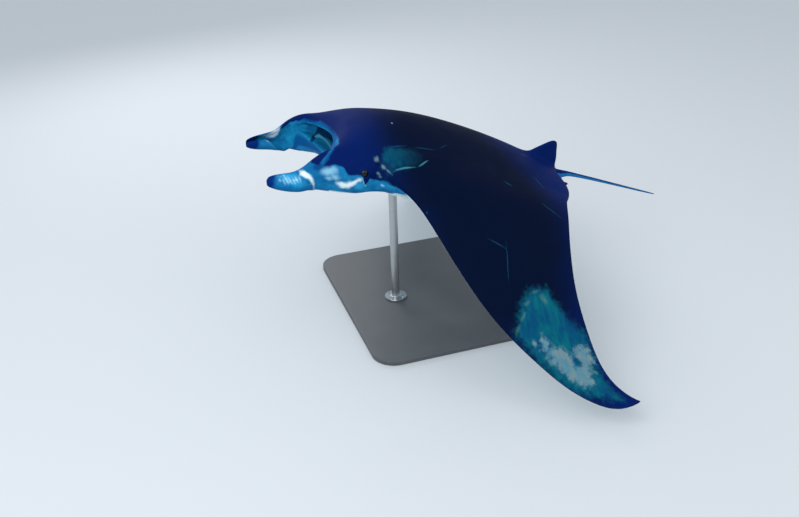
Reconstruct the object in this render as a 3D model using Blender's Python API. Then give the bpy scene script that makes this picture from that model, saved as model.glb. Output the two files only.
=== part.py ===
"""A reef manta ray in mid-glide, life size, held by a plain stand with two rods.

The animal is modelled whole, as one smooth hide with its mouth open and its head fins rolled up,
and is then parted by thin cuts into its named pieces.  Until it is set on the stand it lies in a
frame of its own: +X to its left, +Y back from its upper jaw, +Z up.  Its proportions are fractions
of the disc width, and the hide is brought to metres in one step.
"""

import math
from bisect import bisect_right

import bmesh
import bpy
from mathutils import Matrix, Vector

# Driving sizes, in metres and degrees
DISC_WIDTH = 3.2
NOSE_UP = 17.7
TIP_CLEARANCE = 0.1175
CUT_GAP = 0.0003

# How the sheet of hide is divided: strips across it, rows along it, levels up its rim
HEAD_STRIPS = (0.008, 0.028, 0.046, 0.063, 0.078, 0.091)
WING_STRIPS = 10
HEAD_ROWS = 4
BODY_ROWS = 8
ROWS = HEAD_ROWS + BODY_ROWS
LEVELS = 5
JAW_SIDE = len(HEAD_STRIPS) - 2
HEAD_SIDE = len(HEAD_STRIPS) - 1
WING_TIP = HEAD_SIDE + WING_STRIPS
STRIPS = 2 * WING_TIP + 1

# The planform, as (distance from the middle, distance behind the upper jaw)
LEADING_EDGE = ((0.091, 0.067), (0.12, 0.087), (0.16, 0.111), (0.20, 0.133), (0.25, 0.156),
                (0.35, 0.207), (0.44, 0.278), (0.485, 0.318), (0.50, 0.335))
TRAILING_EDGE = ((0.0, 0.425), (0.04, 0.423), (0.075, 0.417), (0.10, 0.404), (0.13, 0.382),
                 (0.22, 0.352), (0.32, 0.3365), (0.42, 0.340), (0.485, 0.3635), (0.50, 0.3705))
TIP_ROUNDING = 0.007
JAW_CORNER = -0.013
LIP_SETBACK = 0.026
NECK_SETBACK = 0.012
HEAD_TAPER = 0.004
EVEN_ROWS = 0.35

# Half the thickness of the wings along the span, and the top and underside of the trunk and head
WING_HALF = ((0.0, 0.030), (0.10, 0.026), (0.15, 0.021), (0.20, 0.0165), (0.30, 0.0105),
             (0.40, 0.0065), (0.47, 0.0042), (0.50, 0.0022))
BACK = ((0.0, 0.026), (0.03, 0.048), (0.06, 0.061), (0.10, 0.070), (0.15, 0.073), (0.21, 0.069),
        (0.27, 0.061), (0.32, 0.0525), (0.36, 0.0435), (0.40, 0.033), (0.425, 0.024))
BELLY = ((0.0, -0.024), (0.03, -0.032), (0.06, -0.040), (0.10, -0.049), (0.18, -0.056),
         (0.28, -0.050), (0.36, -0.032), (0.40, -0.016), (0.425, -0.004))
HEAD_EDGE_TOP = ((0.0, 0.020), (0.07, 0.033))
HEAD_EDGE_LOW = ((0.0, -0.048), (0.05, -0.044), (0.09, -0.036))
TRUNK_REACH = 0.165
EDGE_SHARE = 0.12
SECTION_CREST = 0.7
SECTION_FULLNESS = 0.8

# Where the square head passes into the round trunk, going back and going out
HEAD_SQUARENESS = 2.5
HEAD_ENDS_BACK = (0.045, 0.115)
HEAD_ENDS_OUT = (0.091, 0.13)

# The flying arch: how steeply the wing droops along its span, its sweep, and its twist at the tip
# about a hinge line that runs from the root to the tip
DROOP = ((0.0, 0.0), (0.10, -1.4), (0.20, 33.0), (0.30, 35.7), (0.40, 35.7), (0.50, 3.7))
TIP_SWEEP = 0.030
TIP_TWIST = 25.0
TWIST_FROM = 0.105
TWIST_HINGE = (0.26, 0.32)
RIM_BULGE = 0.22

# The mouth: the heights of its corners and lips, the depth of a lip, and how it widens inside
MOUTH_CORNER = (-0.006, 0.008)
UPPER_LIP = 0.018
LOWER_LIP = -0.013
LIP_DEPTH = 0.009
CHIN_FORWARD = 0.006
MOUTH_STEPS = ((0.010, 0.85, 0.97), (0.028, 1.5, 0.96), (0.034, 0.9, 0.80))

# The rolled head fins: (back, up, outer face, radius, arc, upper edge's angle, thickness, lean).
# A full roll is an oval that slants in at its foot, and it is tighter at its inner edge
CEPHALIC_STATIONS = (
    (-0.023, -0.0215, 0.0960, 0.0450, 68, 30, 0.0085, 14),
    (-0.032, -0.0290, 0.1000, 0.0240, 140, 48, 0.0065, 22),
    (-0.042, -0.0355, 0.1030, 0.0185, 240, 62, 0.0058, 20),
    (-0.053, -0.0385, 0.1040, 0.0160, 305, 70, 0.0052, 16),
    (-0.064, -0.0410, 0.1010, 0.0145, 320, 72, 0.0048, 14),
    (-0.075, -0.0430, 0.0965, 0.0125, 320, 72, 0.0044, 12),
    (-0.084, -0.0445, 0.0915, 0.0095, 320, 72, 0.0040, 12),
    (-0.0895, -0.0455, 0.0870, 0.0060, 315, 72, 0.0034, 12),
)
ROLL_TUCK = 0.20
ROLL_FLATNESS = 0.85
ROLL_SLANT = 24.0
FULL_ROLL = 240

# The dorsal fin: half its width, then (back, up) of its front, middle and rear edge
DORSAL_ROWS = 2
DORSAL_STATIONS = (
    (0.0060, (0.372, 0.050), (0.400, 0.047), (0.426, 0.040)),
    (0.0042, (0.3895, 0.0620), (0.405, 0.0600), (0.4195, 0.0550)),
    (0.0024, (0.4055, 0.0720), (0.4110, 0.0720), (0.4160, 0.0700)),
)

# The tail: (back, up, half width, half height)
TAIL_STATIONS = (
    (0.440, 0.0140, 0.0070, 0.0085),
    (0.452, 0.0180, 0.0045, 0.0045),
    (0.470, 0.0178, 0.0034, 0.0034),
    (0.510, 0.0157, 0.0027, 0.0028),
    (0.555, 0.0128, 0.0022, 0.0022),
    (0.600, 0.0098, 0.0018, 0.0018),
    (0.635, 0.0076, 0.0014, 0.0014),
    (0.654, 0.0065, 0.0008, 0.0008),
)
TAIL_ROUND = 1.25

# The pelvic fins: the strips they grow from, then (back, up, inner side, outer side, half thickness)
PELVIC_STRIPS = (1, 3)
PELVIC_STATIONS = (
    (0.431, 0.005, 0.0175, 0.041, 0.0032),
    (0.441, 0.006, 0.0170, 0.029, 0.0022),
    (0.450, 0.006, 0.0170, 0.023, 0.0014),
)

# The gills: flaps on each side of the belly, and the shape of one
GILL_PAIRS = 5
GILL_STEPS = 6
GILL_FIRST = 0.122
GILL_SPACING = 0.025
GILL_INNER = 0.022
GILL_OUTER = 0.094
GILL_DRIFT = 0.001
GILL_SHORTER = 0.007
GILL_BOW = 0.012
GILL_BOW_TURN = 0.8
GILL_ENDS = (0.06, 0.94)
GILL_LENGTH = 0.014
GILL_SUNK = 0.004
GILL_PROUD = 0.0052
GILL_OVERHANG = 0.006

# The eyes, at (back, up) on the side of the head, and the nostrils, at (out, back, up)
EYE_AT = (0.046, -0.002)
EYE_RADIUS = 0.0070
EYE_SUNK = 0.0042
EYE_SIDES = 14
NOSTRIL_AT = (0.062, -0.0035, 0.015)
NOSTRIL_SIZE = (0.0075, 0.0045, 0.0030)

# Where the hide is parted, and a distance past the animal on every side
FIN_CUT = -0.0165
FIN_INNER = 0.066
JAW_HALF_WIDTH = 0.083
JAW_HINGE = 0.050
MOUTH_LINE = 0.0035
DORSAL_FRONT = 0.353
DORSAL_CUT = 0.0470
FIN_ROOM = 0.03
TAIL_CUT = 0.431
TAIL_HALF_WIDTH = 0.0150
WHIP_CUT = 0.500
PELVIC_CUT = 0.425
PELVIC_INNER = 0.0149
WING_CUT = 0.125
NECK_CUT = 0.098
FAR = 0.8

SIDES = ((1, "left"), (-1, "right"))

# The stand: the animal's balance point, the base plate, and the rods with their collars, in metres
BALANCE_BACK = 0.200
BASE_SIZE = Vector((1.20, 1.10, 0.025))
BASE_CORNER = 0.12
BASE_EDGE = 0.004
ROD_RADIUS = 0.0225
ROD_SIDES = 18
ROD_TOP = 0.85
COLLAR_RADIUS = 0.06
COLLAR_HEIGHT = 0.012
FRONT_ROD = -0.26
REAR_ROD = 0.34

# The finishes: colour, roughness and metallic value
DARK_HIDE = ((0.010, 0.013, 0.022), 0.45, 0.0)
PALE_HIDE = ((0.62, 0.66, 0.68), 0.5, 0.0)
WET_EYE = ((0.008, 0.007, 0.006), 0.12, 0.0)
PAINTED_PLATE = ((0.055, 0.058, 0.062), 0.5, 0.0)
BRUSHED_ROD = ((0.56, 0.57, 0.58), 0.32, 1.0)
SMOOTH_ANGLE = 40


def along(points, place):
    """Reads a smooth curve through points at one place.  The curve never swings past its points."""
    if place <= points[0][0]:
        return points[0][1]
    if place >= points[-1][0]:
        return points[-1][1]
    rises = [(b[1] - a[1]) / (b[0] - a[0]) for a, b in zip(points, points[1:])]
    slopes = [rises[0]]
    for before, after in zip(rises, rises[1:]):
        slopes.append(2 * before * after / (before + after) if before * after > 0 else 0.0)
    slopes.append(rises[-1])
    i = bisect_right([point[0] for point in points], place) - 1
    width = points[i + 1][0] - points[i][0]
    t = (place - points[i][0]) / width
    start = (1 + 2 * t) * (1 - t) ** 2 * points[i][1] + t * (1 - t) ** 2 * width * slopes[i]
    end = t * t * (3 - 2 * t) * points[i + 1][1] - t * t * (1 - t) * width * slopes[i + 1]
    return start + end


def ease(start, end, value):
    """Rises smoothly from 0 at start to 1 at end."""
    t = min(max((value - start) / (end - start), 0.0), 1.0)
    return t * t * (3 - 2 * t)


def between(start, end, share):
    return start + (end - start) * share


# The outline of the animal

def across(strip):
    """How far from the middle the edge of a strip lies."""
    if strip <= HEAD_SIDE:
        return HEAD_STRIPS[strip]
    turn = math.pi * (strip - HEAD_SIDE) / WING_STRIPS
    return between(HEAD_STRIPS[HEAD_SIDE], 0.5, 0.5 - 0.5 * math.cos(turn))


def jaw_line(out):
    """The upper jaw from above: a shallow bay between the roots of the head fins."""
    return JAW_CORNER + LIP_SETBACK * max(0.0, 1 - (out / HEAD_STRIPS[JAW_SIDE]) ** 2)


def front_line(out):
    """The neck across the head, and the leading edge beyond it."""
    head = HEAD_STRIPS[HEAD_SIDE]
    if out <= head:
        return LEADING_EDGE[0][1] + NECK_SETBACK * (1 - (out / head) ** 2)
    return along(LEADING_EDGE, out)


def chord_share(row):
    """How far back along the chord a row of the body lies.  Rows are closer at both edges."""
    t = (row - HEAD_ROWS) / BODY_ROWS
    return between(0.5 - 0.5 * math.cos(math.pi * t), t, EVEN_ROWS)


def back_from_jaw(out, row):
    if row < HEAD_ROWS:
        return between(jaw_line(out), front_line(out), row / HEAD_ROWS)
    return between(front_line(out), along(TRAILING_EDGE, out), chord_share(row))


# The thickness of the animal

def wing_height(out, share):
    """Half the wing's thickness: a fish's fin section, thickest a third of the way back."""
    curve = max(math.sin(math.pi * share ** SECTION_CREST), 0.0) ** SECTION_FULLNESS
    return along(WING_HALF, out) * max(curve, EDGE_SHARE)


def height(out, back, row, side):
    """The height of the hide over the middle plane.  side is 1 on the back and -1 on the belly."""
    middle = along(BACK, back) if side > 0 else along(BELLY, back)
    trunk = 1 - ease(0.0, TRUNK_REACH, out)
    share = chord_share(row) if row >= HEAD_ROWS else 0.0
    body = between(side * wing_height(out, share), middle, trunk)
    edge = along(HEAD_EDGE_TOP, back) if side > 0 else along(HEAD_EDGE_LOW, back)
    head = between(middle, edge, min(out / HEAD_STRIPS[HEAD_SIDE], 1.0) ** HEAD_SQUARENESS)
    head_share = (1 - ease(*HEAD_ENDS_BACK, back)) * (1 - ease(*HEAD_ENDS_OUT, out))
    return between(body, head, head_share)


# The cage of the hide.  Columns are odd numbers, negative on the right, and the middle strip has no line

def strip_at(column):
    """Which strip's outer edge a column is, counted from the middle strip."""
    return (abs(column) - 1) // 2


def column_of(strip):
    return 2 * strip + 1


def rim_bulge(thickness, rise):
    return RIM_BULGE * thickness * math.sin(math.pi * rise)


def mouth_edge(out, level):
    """The height of the lips' edges: the upper jaw arches up and the lower jaw hangs open."""
    open_share = max(0.0, 1 - (out / HEAD_STRIPS[JAW_SIDE]) ** 2)
    roof = between(MOUTH_CORNER[1], UPPER_LIP, open_share)
    floor = between(MOUTH_CORNER[0], LOWER_LIP, open_share)
    return between(floor, roof, (level - 1) / (LEVELS - 2))


def place(column, row, level):
    """Where a corner of the slab lies on the animal, in fractions of the disc width."""
    side = math.copysign(1, column)
    strip = strip_at(column)
    out = across(strip)
    if strip == WING_TIP:
        rounded = TIP_ROUNDING * (1 - math.sin(math.pi * (row - HEAD_ROWS) / BODY_ROWS))
        return Vector((side * (out - rounded), back_from_jaw(out, row), 0.0))
    back = back_from_jaw(out, row)
    top = height(out, back, row, 1)
    low = height(out, back, row, -1)
    rise = level / LEVELS
    thin_front = row == HEAD_ROWS and strip > HEAD_SIDE + 1
    if 0 < level < LEVELS and (row == ROWS or thin_front):
        rise = 0.5
    bulge = rim_bulge(top - low, rise)
    up = between(low, top, rise)
    if strip == HEAD_SIDE and row <= HEAD_ROWS:
        out += bulge - HEAD_TAPER * (1 - row / HEAD_ROWS)
    elif row == HEAD_ROWS and strip > HEAD_SIDE:
        back -= bulge
    elif row == ROWS:
        back += bulge
    elif row == 0 and level in (0, LEVELS):
        back += LIP_DEPTH
    elif row == 0 and strip <= JAW_SIDE:
        up = mouth_edge(out, level)
        back -= between(CHIN_FORWARD, 0.0, (level - 1) / (LEVELS - 2))
    return Vector((side * out, back, up))


def slab(bm):
    """A slab of squares whose places are (column, row, level), without the corners beside the head."""
    bmesh.ops.create_grid(bm, x_segments=STRIPS, y_segments=ROWS, size=0.5)
    for vert in bm.verts:
        vert.co = (round(vert.co.x * 2 * STRIPS), round((vert.co.y + 0.5) * ROWS), 0)
    beside_head = [face for face in bm.faces
                   if abs(face.calc_center_median().x) > column_of(HEAD_SIDE)
                   and face.calc_center_median().y < HEAD_ROWS]
    bmesh.ops.delete(bm, geom=beside_head, context="FACES")
    grown = bmesh.ops.extrude_face_region(bm, geom=bm.faces[:], use_keep_orig=True)["geom"]
    raised = [item for item in grown if isinstance(item, bmesh.types.BMVert)]
    bmesh.ops.translate(bm, verts=raised, vec=(0, 0, LEVELS))
    uprights = [edge for edge in bm.edges if abs(edge.verts[0].co.z - edge.verts[1].co.z) > 1]
    bmesh.ops.subdivide_edges(bm, edges=uprights, cuts=LEVELS - 1, use_grid_fill=True)
    bmesh.ops.recalc_face_normals(bm, faces=bm.faces)


def patch_at(column, row, level):
    """Names the patch of the slab that a face's middle lies in, if a form grows from it."""
    strip = (abs(column) - 1) / 2
    side = "left" if column > 0 else "right"
    if row == 0 and strip > JAW_SIDE:
        return f"cephalic_{side}"
    if row == 0 and 1 < level < LEVELS - 1:
        return "mouth"
    if level == LEVELS and strip < 0 and row > ROWS - DORSAL_ROWS:
        return "dorsal"
    if row == ROWS and strip < 0:
        return "tail"
    if row == ROWS and PELVIC_STRIPS[0] < strip < PELVIC_STRIPS[1]:
        return f"pelvic_{side}"
    return ""


def tag_slab(bm):
    """Keeps on each corner its column, row and level, and on each face the patch it belongs to."""
    marks = [bm.verts.layers.int.new(name) for name in ("column", "row", "level")]
    for vert in bm.verts:
        for mark, number in zip(marks, vert.co):
            vert[mark] = round(number)
    patch = bm.faces.layers.string.new("patch")
    for face in bm.faces:
        face[patch] = patch_at(*face.calc_center_median()).encode()


def grow(bm, name, new_place):
    """Extrudes a patch by one step, and puts each new corner where new_place says."""
    patch = bm.faces.layers.string["patch"]
    marks = [bm.verts.layers.int[mark] for mark in ("column", "row", "level")]
    root = [face for face in bm.faces if face[patch] == name.encode()]
    grown = bmesh.ops.extrude_face_region(bm, geom=root)["geom"]
    caps = {item for item in grown if isinstance(item, bmesh.types.BMFace)}
    bmesh.ops.delete(bm, geom=root, context="FACES")
    for face in bm.faces:
        if face[patch] == name.encode() and face not in caps:
            face[patch] = b""
    for vert in grown:
        if isinstance(vert, bmesh.types.BMVert):
            vert.co = new_place(*(vert[mark] for mark in marks), vert.co)


def grow_mouth(bm):
    """Sinks the mouth into the head: the inside of the lips, the wide hollow behind them, and its back."""
    for deeper, tall, wide in MOUTH_STEPS:
        def inward(column, row, level, spot):
            middle = mouth_edge(abs(spot.x), LEVELS / 2)
            return Vector((spot.x * wide, spot.y + deeper, between(middle, spot.z, tall)))
        grow(bm, "mouth", inward)


def grow_cephalic_fin(bm, name):
    """Draws a head fin out of the corner of the jaw: a plate that rolls up into a tapering horn."""
    for back, up, outer, radius, arc, start, thick, lean in CEPHALIC_STATIONS:
        closed = min(arc / FULL_ROLL, 1)
        slant = math.radians(ROLL_SLANT) * closed

        def rolled(column, row, level, spot):
            share = 1 - level / LEVELS
            turn = math.radians(start - arc * share)
            face = thick / 2 if strip_at(column) == HEAD_SIDE else -thick / 2
            reach = radius * (1 - ROLL_TUCK * share * arc / 360) + face
            wide = reach * math.cos(turn) * between(1, ROLL_FLATNESS, closed)
            tall = reach * math.sin(turn)
            out = outer - radius + wide * math.cos(slant) - tall * math.sin(slant)
            rise = wide * math.sin(slant) + tall * math.cos(slant)
            tilt = math.radians(lean)
            spot = (math.copysign(out, column), back - rise * math.sin(tilt), up + rise * math.cos(tilt))
            return Vector(spot)
        grow(bm, name, rolled)


def grow_dorsal(bm):
    """Raises the small dorsal fin, swept back over the root of the tail."""
    for half_width, *stations in DORSAL_STATIONS:
        def raised(column, row, level, spot):
            back, up = stations[row - (ROWS - DORSAL_ROWS)]
            return Vector((math.copysign(half_width, column), back, up))
        grow(bm, "dorsal", raised)


def grow_tail(bm):
    """Draws the tail out behind the dorsal fin into a long whip."""
    for back, up, half_width, half_height in TAIL_STATIONS:
        def drawn(column, row, level, spot):
            rim = {0: -1, LEVELS: 1}.get(level, 0)
            wide = half_width if rim else half_width * TAIL_ROUND
            return Vector((math.copysign(wide, column), back, up + rim * half_height))
        grow(bm, "tail", drawn)


def grow_pelvic_fin(bm, name):
    """Draws a pelvic fin back beside the root of the tail."""
    for back, up, inner, outer, half_height in PELVIC_STATIONS:
        def drawn(column, row, level, spot):
            first, last = PELVIC_STRIPS
            out = between(inner, outer, (strip_at(column) - first) / (last - first))
            rim = {0: -1, LEVELS: 1}.get(level, 0)
            return Vector((math.copysign(out, column), back, up + rim * half_height))
        grow(bm, name, drawn)


def wing_arch(steps=200):
    """How far out and how far down the drooping wing comes, at even steps along the flat one."""
    line = [(0.0, 0.0, 0.0)]
    stride = 0.5 / steps
    for step in range(steps):
        droop = math.radians(along(DROOP, (step + 0.5) * stride))
        flat, out, down = line[-1]
        line.append((flat + stride, out + stride * math.cos(droop), down + stride * math.sin(droop)))
    return line


def fly(bm):
    """Bends the flat animal into its glide: the wings droop, sweep back and twist nose down."""
    line = wing_arch()
    stride = line[1][0]
    for vert in bm.verts:
        flat = abs(vert.co.x)
        step = min(int(flat / stride), len(line) - 2)
        rest = flat / stride - step
        out = between(line[step][1], line[step + 1][1], rest)
        down = between(line[step][2], line[step + 1][2], rest)
        droop = math.radians(along(DROOP, flat))
        share = min(max((flat - TWIST_FROM) / (0.5 - TWIST_FROM), 0.0), 1.0)
        twist = math.radians(TIP_TWIST) * share
        hinge = between(*TWIST_HINGE, share)
        behind = vert.co.y - hinge
        lift = behind * math.sin(twist) + vert.co.z * math.cos(twist)
        back = hinge + behind * math.cos(twist) - vert.co.z * math.sin(twist) + TIP_SWEEP * share ** 2
        out += lift * math.sin(droop)
        vert.co = (math.copysign(out, vert.co.x), back, lift * math.cos(droop) - down)


def matched(whole):
    """Makes the right half the mirror image of the left, also in how its faces are split."""
    bm = bmesh.new()
    bm.from_mesh(whole.data)
    right = [face for face in bm.faces if face.calc_center_median().x < 0]
    bmesh.ops.delete(bm, geom=right, context="FACES")
    for vert in bm.verts:
        if vert.is_boundary:
            vert.co.x = 0
    bmesh.ops.mirror(bm, geom=bm.verts[:] + bm.edges[:] + bm.faces[:], axis="X", merge_dist=1e-5)
    bmesh.ops.recalc_face_normals(bm, faces=bm.faces)
    bm.to_mesh(whole.data)
    bm.free()
    return whole


def hide():
    """The whole animal in metres as one closed, smooth mesh."""
    bm = bmesh.new()
    slab(bm)
    tag_slab(bm)
    for vert in bm.verts:
        vert.co = place(*(round(number) for number in vert.co))
    bmesh.ops.remove_doubles(bm, verts=bm.verts, dist=1e-6)
    grow_mouth(bm)
    for side in ("left", "right"):
        grow_cephalic_fin(bm, f"cephalic_{side}")
        grow_pelvic_fin(bm, f"pelvic_{side}")
    grow_dorsal(bm)
    grow_tail(bm)
    fly(bm)
    bmesh.ops.scale(bm, verts=bm.verts, vec=(DISC_WIDTH,) * 3)
    bmesh.ops.recalc_face_normals(bm, faces=bm.faces)
    whole = to_object(bm, "hide")
    smooth = whole.modifiers.new("Rounded", "SUBSURF")
    smooth.levels = smooth.render_levels = 1
    split = whole.modifiers.new("Split alike", "TRIANGULATE")
    split.quad_method = "FIXED"
    return matched(settled(whole))


# Small tools for solids

def to_object(bm, name):
    """A mesh object from the work so far."""
    mesh = bpy.data.meshes.new(name)
    bm.to_mesh(mesh)
    bm.free()
    made = bpy.data.objects.new(name, mesh)
    bpy.context.scene.collection.objects.link(made)
    return made


def settled(item):
    """Applies an object's modifiers."""
    bpy.context.view_layer.update()
    graph = bpy.context.evaluated_depsgraph_get()
    mesh = bpy.data.meshes.new_from_object(item.evaluated_get(graph))
    item.modifiers.clear()
    item.data = mesh
    return item


def keep_largest(item):
    """Leaves only the closed surface with the most faces."""
    bm = bmesh.new()
    bm.from_mesh(item.data)
    loose = set(bm.faces)
    groups = []
    while loose:
        group = [loose.pop()]
        for face in group:
            for edge in face.edges:
                for other in edge.link_faces:
                    if other in loose:
                        loose.remove(other)
                        group.append(other)
        groups.append(group)
    groups.sort(key=len)
    scraps = [face for group in groups[:-1] for face in group]
    bmesh.ops.delete(bm, geom=scraps, context="FACES")
    bm.to_mesh(item.data)
    bm.free()


def join(item, additions):
    """Joins closed solids to an item in one union."""
    group = bpy.data.collections.new("additions")
    for addition in additions:
        addition.hide_render = True
        group.objects.link(addition)
    work = item.modifiers.new("Join", "BOOLEAN")
    work.operation = "UNION"
    work.operand_type = "COLLECTION"
    work.collection = group
    settled(item)
    for addition in additions:
        bpy.data.objects.remove(addition, do_unlink=True)
    bpy.data.collections.remove(group)
    keep_largest(item)


def cut(item, cutters, operation="DIFFERENCE"):
    """Cuts closed solids from an item, or keeps only what it shares with them."""
    for cutter in cutters:
        cutter.hide_render = True
        cutter.display_type = "WIRE"
        work = item.modifiers.new("Cut", "BOOLEAN")
        work.operation = operation
        work.object = cutter
    settled(item)
    for cutter in cutters:
        bpy.data.objects.remove(cutter, do_unlink=True)
    keep_largest(item)


def block(low, high, inset=0.0):
    """A box between two corners given in fractions of the disc width, drawn in by an inset in metres."""
    bm = bmesh.new()
    bmesh.ops.create_cube(bm, size=1)
    low = Vector(low) * DISC_WIDTH + Vector((inset,) * 3)
    high = Vector(high) * DISC_WIDTH - Vector((inset,) * 3)
    bmesh.ops.scale(bm, verts=bm.verts, vec=high - low)
    bmesh.ops.translate(bm, verts=bm.verts, vec=(low + high) / 2)
    return to_object(bm, "block")


def ball(centre, radii, segments, rings):
    bm = bmesh.new()
    bmesh.ops.create_uvsphere(bm, u_segments=segments, v_segments=rings, radius=1)
    bmesh.ops.scale(bm, verts=bm.verts, vec=radii)
    bmesh.ops.translate(bm, verts=bm.verts, vec=centre)
    return to_object(bm, "ball")


# Gills, nostrils and eyes

def gill_flap(whole, side, number):
    """A long ridge across the belly with its free edge to the rear, sunk in at its root."""
    bm = bmesh.new()
    rings = []
    for step in range(GILL_STEPS + 1):
        share = step / GILL_STEPS
        out = between(GILL_INNER + number * GILL_DRIFT, GILL_OUTER - number * GILL_SHORTER, share)
        back = GILL_FIRST + number * GILL_SPACING - GILL_BOW * math.sin(math.pi * share * GILL_BOW_TURN)
        swell = math.sqrt(math.sin(math.pi * between(*GILL_ENDS, share)))
        below = Vector((side * out, back, -FAR)) * DISC_WIDTH
        skin = whole.ray_cast(below, Vector((0, 0, 1)))[1].z / DISC_WIDTH
        corners = ((back - GILL_LENGTH, skin + GILL_SUNK), (back + GILL_SUNK, skin + GILL_SUNK),
                   (back + GILL_OVERHANG * swell, skin - GILL_PROUD * swell))
        rings.append([bm.verts.new(Vector((side * out, *corner)) * DISC_WIDTH) for corner in corners])
    for ring, following in zip(rings, rings[1:]):
        for i in range(len(ring)):
            bm.faces.new((ring[i], ring[i - 1], following[i - 1], following[i]))
    bm.faces.new(rings[0])
    bm.faces.new(reversed(rings[-1]))
    bmesh.ops.recalc_face_normals(bm, faces=bm.faces)
    return to_object(bm, "gill_flap")


def eye_centre(whole, side):
    """An eye sits in the side of the head, with most of its ball sunk in."""
    beside = Vector((side * FAR, *EYE_AT)) * DISC_WIDTH
    skin = whole.ray_cast(beside, Vector((-side, 0, 0)))[1]
    return skin - Vector((side * EYE_SUNK * DISC_WIDTH, 0, 0))


def eye_ball(centre, clearance=0.0):
    radius = EYE_RADIUS * DISC_WIDTH + clearance
    return ball(centre, (radius, radius, radius), EYE_SIDES, EYE_SIDES // 2)


def nostril(side):
    """The hollow of a nostril, in the lip just inside the root of the head fin."""
    out, back, up = NOSTRIL_AT
    centre = Vector((side * out, back, up)) * DISC_WIDTH
    return ball(centre, Vector(NOSTRIL_SIZE) * DISC_WIDTH, 8, 6)


# The named pieces

def part_off(whole, name, low, high):
    """Cuts the piece of the hide inside a box off the whole, with a thin gap between them."""
    piece = whole.copy()
    piece.data = whole.data.copy()
    piece.name = name
    bpy.context.scene.collection.objects.link(piece)
    cut(piece, [block(low, high, CUT_GAP)], "INTERSECT")
    cut(whole, [block(low, high)])
    return piece


def part_pair(whole, name, inner, outer, front, rear):
    """Parts off a piece on each side of the animal."""
    pair = []
    for side, word in SIDES:
        low, high = sorted((side * inner, side * outer))
        pair.append(part_off(whole, f"{name}_{word}", (low, front, -FAR), (high, rear, FAR)))
    return pair


def parted(whole):
    """The hide's named pieces, taken off in turn until only the trunk is left."""
    pieces = part_pair(whole, "cephalic_fin", FIN_INNER, FAR, -FAR, FIN_CUT)
    jaw_corner = (JAW_HALF_WIDTH, JAW_HINGE, MOUTH_LINE)
    pieces.append(part_off(whole, "lower_jaw", (-JAW_HALF_WIDTH, -FAR, -FAR), jaw_corner))
    pieces.append(part_off(whole, "dorsal_fin", (-FIN_ROOM, DORSAL_FRONT, DORSAL_CUT), (FIN_ROOM, FAR, FAR)))
    pieces.append(part_off(whole, "tail_whip", (-FIN_ROOM, WHIP_CUT, -FAR), (FIN_ROOM, FAR, FAR)))
    tail_corner = (TAIL_HALF_WIDTH, FAR, FAR)
    pieces.append(part_off(whole, "tail_base", (-TAIL_HALF_WIDTH, TAIL_CUT, -FAR), tail_corner))
    pieces += part_pair(whole, "wing", WING_CUT, FAR, -FAR, FAR)
    pieces += part_pair(whole, "pelvic_fin", PELVIC_INNER, FAR, PELVIC_CUT, FAR)
    pieces.append(part_off(whole, "head", (-FAR, -FAR, -FAR), (FAR, NECK_CUT, FAR)))
    whole.name = "trunk"
    return pieces + [whole]


def animal_pieces():
    """The hide with its gills, nostrils and eye sockets, parted where a person would name its parts."""
    whole = hide()
    join(whole, [gill_flap(whole, side, number) for side, _ in SIDES for number in range(GILL_PAIRS)])
    eyes = {f"eye_{word}": eye_centre(whole, side) for side, word in SIDES}
    sockets = [eye_ball(centre, CUT_GAP) for centre in eyes.values()]
    cut(whole, sockets + [nostril(side) for side, _ in SIDES])
    pieces = parted(whole)
    for name, centre in eyes.items():
        eye = eye_ball(centre)
        eye.name = name
        pieces.append(eye)
    return {piece.name: piece for piece in pieces}


def pose(pieces):
    """Tips the animal nose up and lifts it until the tips of its wings just clear the floor."""
    tilt = Matrix.Rotation(-math.radians(NOSE_UP), 4, "X")
    lowest = min((tilt @ vert.co).z for vert in pieces["wing_left"].data.vertices)
    holder = bpy.data.objects.new("animal", None)
    bpy.context.scene.collection.objects.link(holder)
    holder.rotation_euler.x = -math.radians(NOSE_UP)
    holder.location = (0, -BALANCE_BACK * DISC_WIDTH, TIP_CLEARANCE - lowest)
    for piece in pieces.values():
        piece.parent = holder
    bpy.context.view_layer.update()


# The stand

def stand_base():
    """A flat plate with round corners and a soft upper edge."""
    bm = bmesh.new()
    bmesh.ops.create_cube(bm, size=1)
    bmesh.ops.scale(bm, verts=bm.verts, vec=BASE_SIZE)
    bmesh.ops.translate(bm, verts=bm.verts, vec=(0, 0, BASE_SIZE[2] / 2))
    corners = [edge for edge in bm.edges if edge.verts[0].co.z != edge.verts[1].co.z]
    bmesh.ops.bevel(bm, geom=corners, offset=BASE_CORNER, affect="EDGES", segments=5, profile=0.5,
                    material=-1)
    rim = [edge for edge in bm.edges if min(vert.co.z for vert in edge.verts) > BASE_SIZE[2] / 2]
    bmesh.ops.bevel(bm, geom=rim, offset=BASE_EDGE, affect="EDGES", segments=2, profile=0.5,
                    material=-1)
    return to_object(bm, "stand_base")


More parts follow.
